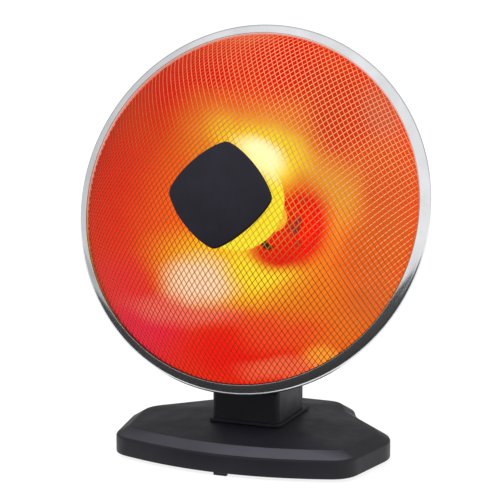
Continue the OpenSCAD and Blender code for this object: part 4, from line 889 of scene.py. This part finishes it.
def base_shell():
    """Cover of the base: rings of the outline, drawn in along the wall and the sloping band, then
    shrunk towards the middle over the deck. The same rings a wall's thickness inside close it."""
    outline = base_outline()
    middle = np.array([0, (BASE_REAR - BASE_FRONT) / 2])
    crease, crease_width, crease_depth = 0.5, 0.12, 0.35

    def ring(points, z):
        """A run of points at one height."""
        return np.concatenate([points, np.full((len(points), 1), z)], 1)

    def deck(distance, low, high, shares):
        """Rings that rise from low to high up to the crease, which is eased, and are level within it."""
        edge = drawn_in(outline, distance)
        rise = low + (high - low) * np.minimum((1 - shares) / (1 - crease), 1)
        rise -= crease_depth * np.clip(1 - np.abs(shares - crease) / crease_width, 0, 1) ** 2
        return [ring(middle + k * (edge - middle), z) for k, z in zip(shares, rise)]

    inner_edge = BAND_W + WALL / 2
    wall = eased([(inner_edge, BAND_Z - WALL), (WALL, EDGE_Z - WALL / 3), (WALL, BOTTOM_Z),
                  (0.0, BOTTOM_Z), (0.0, EDGE_Z), (BAND_W, BAND_Z)], [0, 1.0, 0.4, 1.0, 1.7, 0], 6)
    band = wall[-2] + np.linspace(0, 1, 7)[1:-1, None] * (wall[-1] - wall[-2])
    wall = np.concatenate([wall[:-1], band, wall[-1:]])
    shares = np.concatenate([np.linspace(1, 0.38, 32), [0.30, 0.2, 0.1]])
    rings = deck(inner_edge, BAND_Z - WALL, DECK_Z - WALL, shares)[:0:-1]
    rings += [ring(drawn_in(outline, d), z) for d, z in wall]
    band_end = len(rings) - 1
    rings += deck(BAND_W, BAND_Z, DECK_Z, shares)[1:]
    finish = np.zeros(len(rings) - 1, int)
    finish[band_end - len(band) - 1:band_end] = 1
    return [lattice(np.stack(rings), False, (*middle, DECK_Z - WALL), (*middle, DECK_Z),
                    np.repeat(finish, len(outline)))]


piece("base_shell", base_shell(), [black_plastic, highlit_band_plastic], "base", "base_cover")

# ---------------------------------------------------------------- carried-over nodes

# New piece, node, rounding in millimetres, finish, body, slot, and False for those that slide in another.
EASED = [
    ("neck_front", "neck_front_shell", 0.7, black_plastic, "neck", "black_plastic"),
    ("neck_rear", "neck_rear_shell", 0.7, black_plastic, "neck", "black_plastic"),
    ("foot_plate", "swivel_plate", 0.5, black_plastic, "neck", "black_plastic"),
    ("housing", "rear_housing", 0.6, black_plastic, "head", "black_plastic"),
    ("hinge_bracket", "tilt_bracket", 0.6, black_steel, "head", "steel"),
    ("hinge_bolt", "tilt_bolt", 0.4, zinc_steel, "neck", "steel"),
    ("hinge_nut", "tilt_nut", 0.4, zinc_steel, "neck", "steel"),
    ("plunger", "tip_plunger", 0.5, control_plastic, "plunger", "black_plastic", False),
    ("knob_dial", "heat_knob", 0.5, dial_plastic, "knob", "black_plastic"),
    ("press_button", "oscillation_button", 0.4, control_plastic, "button", "black_plastic", False),
    ("gland", "cord_gland", 0.3, rubber, "base", "rubber"),
    ("spider", "shield_spider", 0.25, lit_and_shaded_steel, "head", "steel"),
]
for row in EASED:
    softened(*row)

CARRIED = {
    plate_plastic: ["base_plate"],
    rubber: ["rubber_feet"],
    zinc_steel: ["base_screws", "motor_screws", "tip_spring", "swivel_screws", "neck_screws",
                 "heat_switch_nut", "element_rod", "retaining_ring"],
    red_steel: ["hub_screws", "element_terminals"],
    sheet_steel: ["ballast_plate", "oscillation_motor", "hub_plate"],
    nylon: ["motor_pinion", "slip_washer", "terminal_block", "sector_gear"],
    switch_plastic: ["tip_switch", "heat_switch", "oscillation_switch", "thermal_cutout"],
    fibre: ["friction_washers"],
    black_steel: ["housing_screws"],
}
for finish, nodes in CARRIED.items():
    for name in nodes:
        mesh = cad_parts[name].data
        mesh.materials.clear()
        mesh.materials.append(finish)

# ---------------------------------------------------------------- studio


def stage_sheet(name, corners, finish):
    """A flat sheet of the studio through four corners, anticlockwise seen from its face."""
    mesh = bpy.data.meshes.new(name)
    mesh.from_pydata(corners, [], [(0, 1, 2, 3)])
    mesh.materials.append(finish)
    sheet = bpy.data.objects.new(name, mesh)
    bpy.context.scene.collection.objects.link(sheet)
    return sheet


def level(left, right, front, back, height):
    """Corners of a level rectangle, anticlockwise seen from above."""
    return [(left, front, height), (right, front, height), (right, back, height), (left, back, height)]


def white_room():
    """Surroundings: white to the camera and to dull faces. Mirror-like faces see a room that is bright
    at the right and overhead, a little dimmer at the left and dark behind."""
    world = bpy.data.worlds.new("white room")
    world.use_nodes = True
    tree = world.node_tree

    def add(kind, inputs, **settings):
        """The outputs of a new node."""
        return new_node(tree, kind, inputs, settings).outputs

    def brightness(axis, low, high, start, end):
        """Brightness from start to end as the view's share along an axis grows from low to high."""
        along = add("VectorMath", {0: toward, 1: axis}, operation="DOT_PRODUCT")["Value"]
        return add("MapRange", {"Value": along, "From Min": low, "From Max": high, "To Min": start,
                                "To Max": end}, interpolation_type="SMOOTHSTEP")[0]

    toward, seen = add("TexCoord", {})["Generated"], add("LightPath", {})
    sideways = brightness((0.8, 0, 0.6), -0.70, 0.40, 0.74, 1.04)
    behind = brightness((0, 1, 0), 0.10, 0.80, 0.0, -0.55)
    glow = add("Math", {0: sideways, 1: behind}, operation="ADD")[0]
    strength = add("Mix", {0: seen["Is Glossy Ray"], 2: 1.06, 3: glow})[0]
    strength = add("Mix", {0: seen["Is Camera Ray"], 2: strength, 3: 1.1})[0]
    feed(tree, tree.nodes["Background"].inputs, {"Strength": strength, "Color": (1, 1, 1, 1)})
    bpy.context.scene.world = world


def soft_light(name, place, aim, size, power):
    """Round lamp that shows in no reflection; size in metres, power in watts."""
    data = bpy.data.lights.new(name, "AREA")
    data.shape, data.size, data.energy = "DISK", size, power
    light = bpy.data.objects.new(name, data)
    light.location = place
    light.rotation_euler = (Vector(aim) - Vector(place)).to_track_quat("-Z", "Y").to_euler()
    light.visible_glossy = False
    bpy.context.scene.collection.objects.link(light)


def card(name, corners, tone):
    """Matt sheet of the studio that only reflections show."""
    f = Finish(name)
    f.set(Base_Color=f.mix(f.cloud(3, 3), grey(tone), grey(tone * 1.2)), Roughness=0.9)
    sheet = stage_sheet(name, corners, f.material)
    sheet.visible_camera = sheet.visible_diffuse = False
    sheet.visible_shadow = sheet.visible_transmission = False


def studio():
    """Pale floor, cards in front of the heater and a low wall behind the camera, and three lights."""
    f = Finish("pale floor")
    f.set(Base_Color=f.mix(f.cloud(3, 3), grey(0.19), grey(0.21)), Roughness=0.85,
          Specular_IOR_Level=0.0, Emission_Color=(1, 1, 1, 1), Emission_Strength=0.84)
    stage_sheet("floor", level(-6, 6, -6, 6, 0.0), f.material)
    far, near, lift, dark = -4.0, -0.118, 0.0006, 0.008
    card("dark_card", level(-0.8, 2.5, far, near, lift), dark)
    card("dark_wall", [(4.5, far, 0), (-0.4, far, 0), (-0.4, far, 0.50), (4.5, far, 0.50)], dark)
    card("grey_card", level(-4.0, -0.8, far, near, lift), 0.34)
    white_room()
    soft_light("key", (-0.9, -1.5, 1.9), (0, 0, 0.15), size=1.4, power=26)
    soft_light("fill", (1.8, -0.9, 1.0), (0, 0, 0.2), size=1.0, power=6)
    soft_light("back", (0.3, 1.6, 1.7), (0, 0, 0.2), size=1.4, power=16)
    bpy.context.scene.view_settings.view_transform = "Standard"


studio()
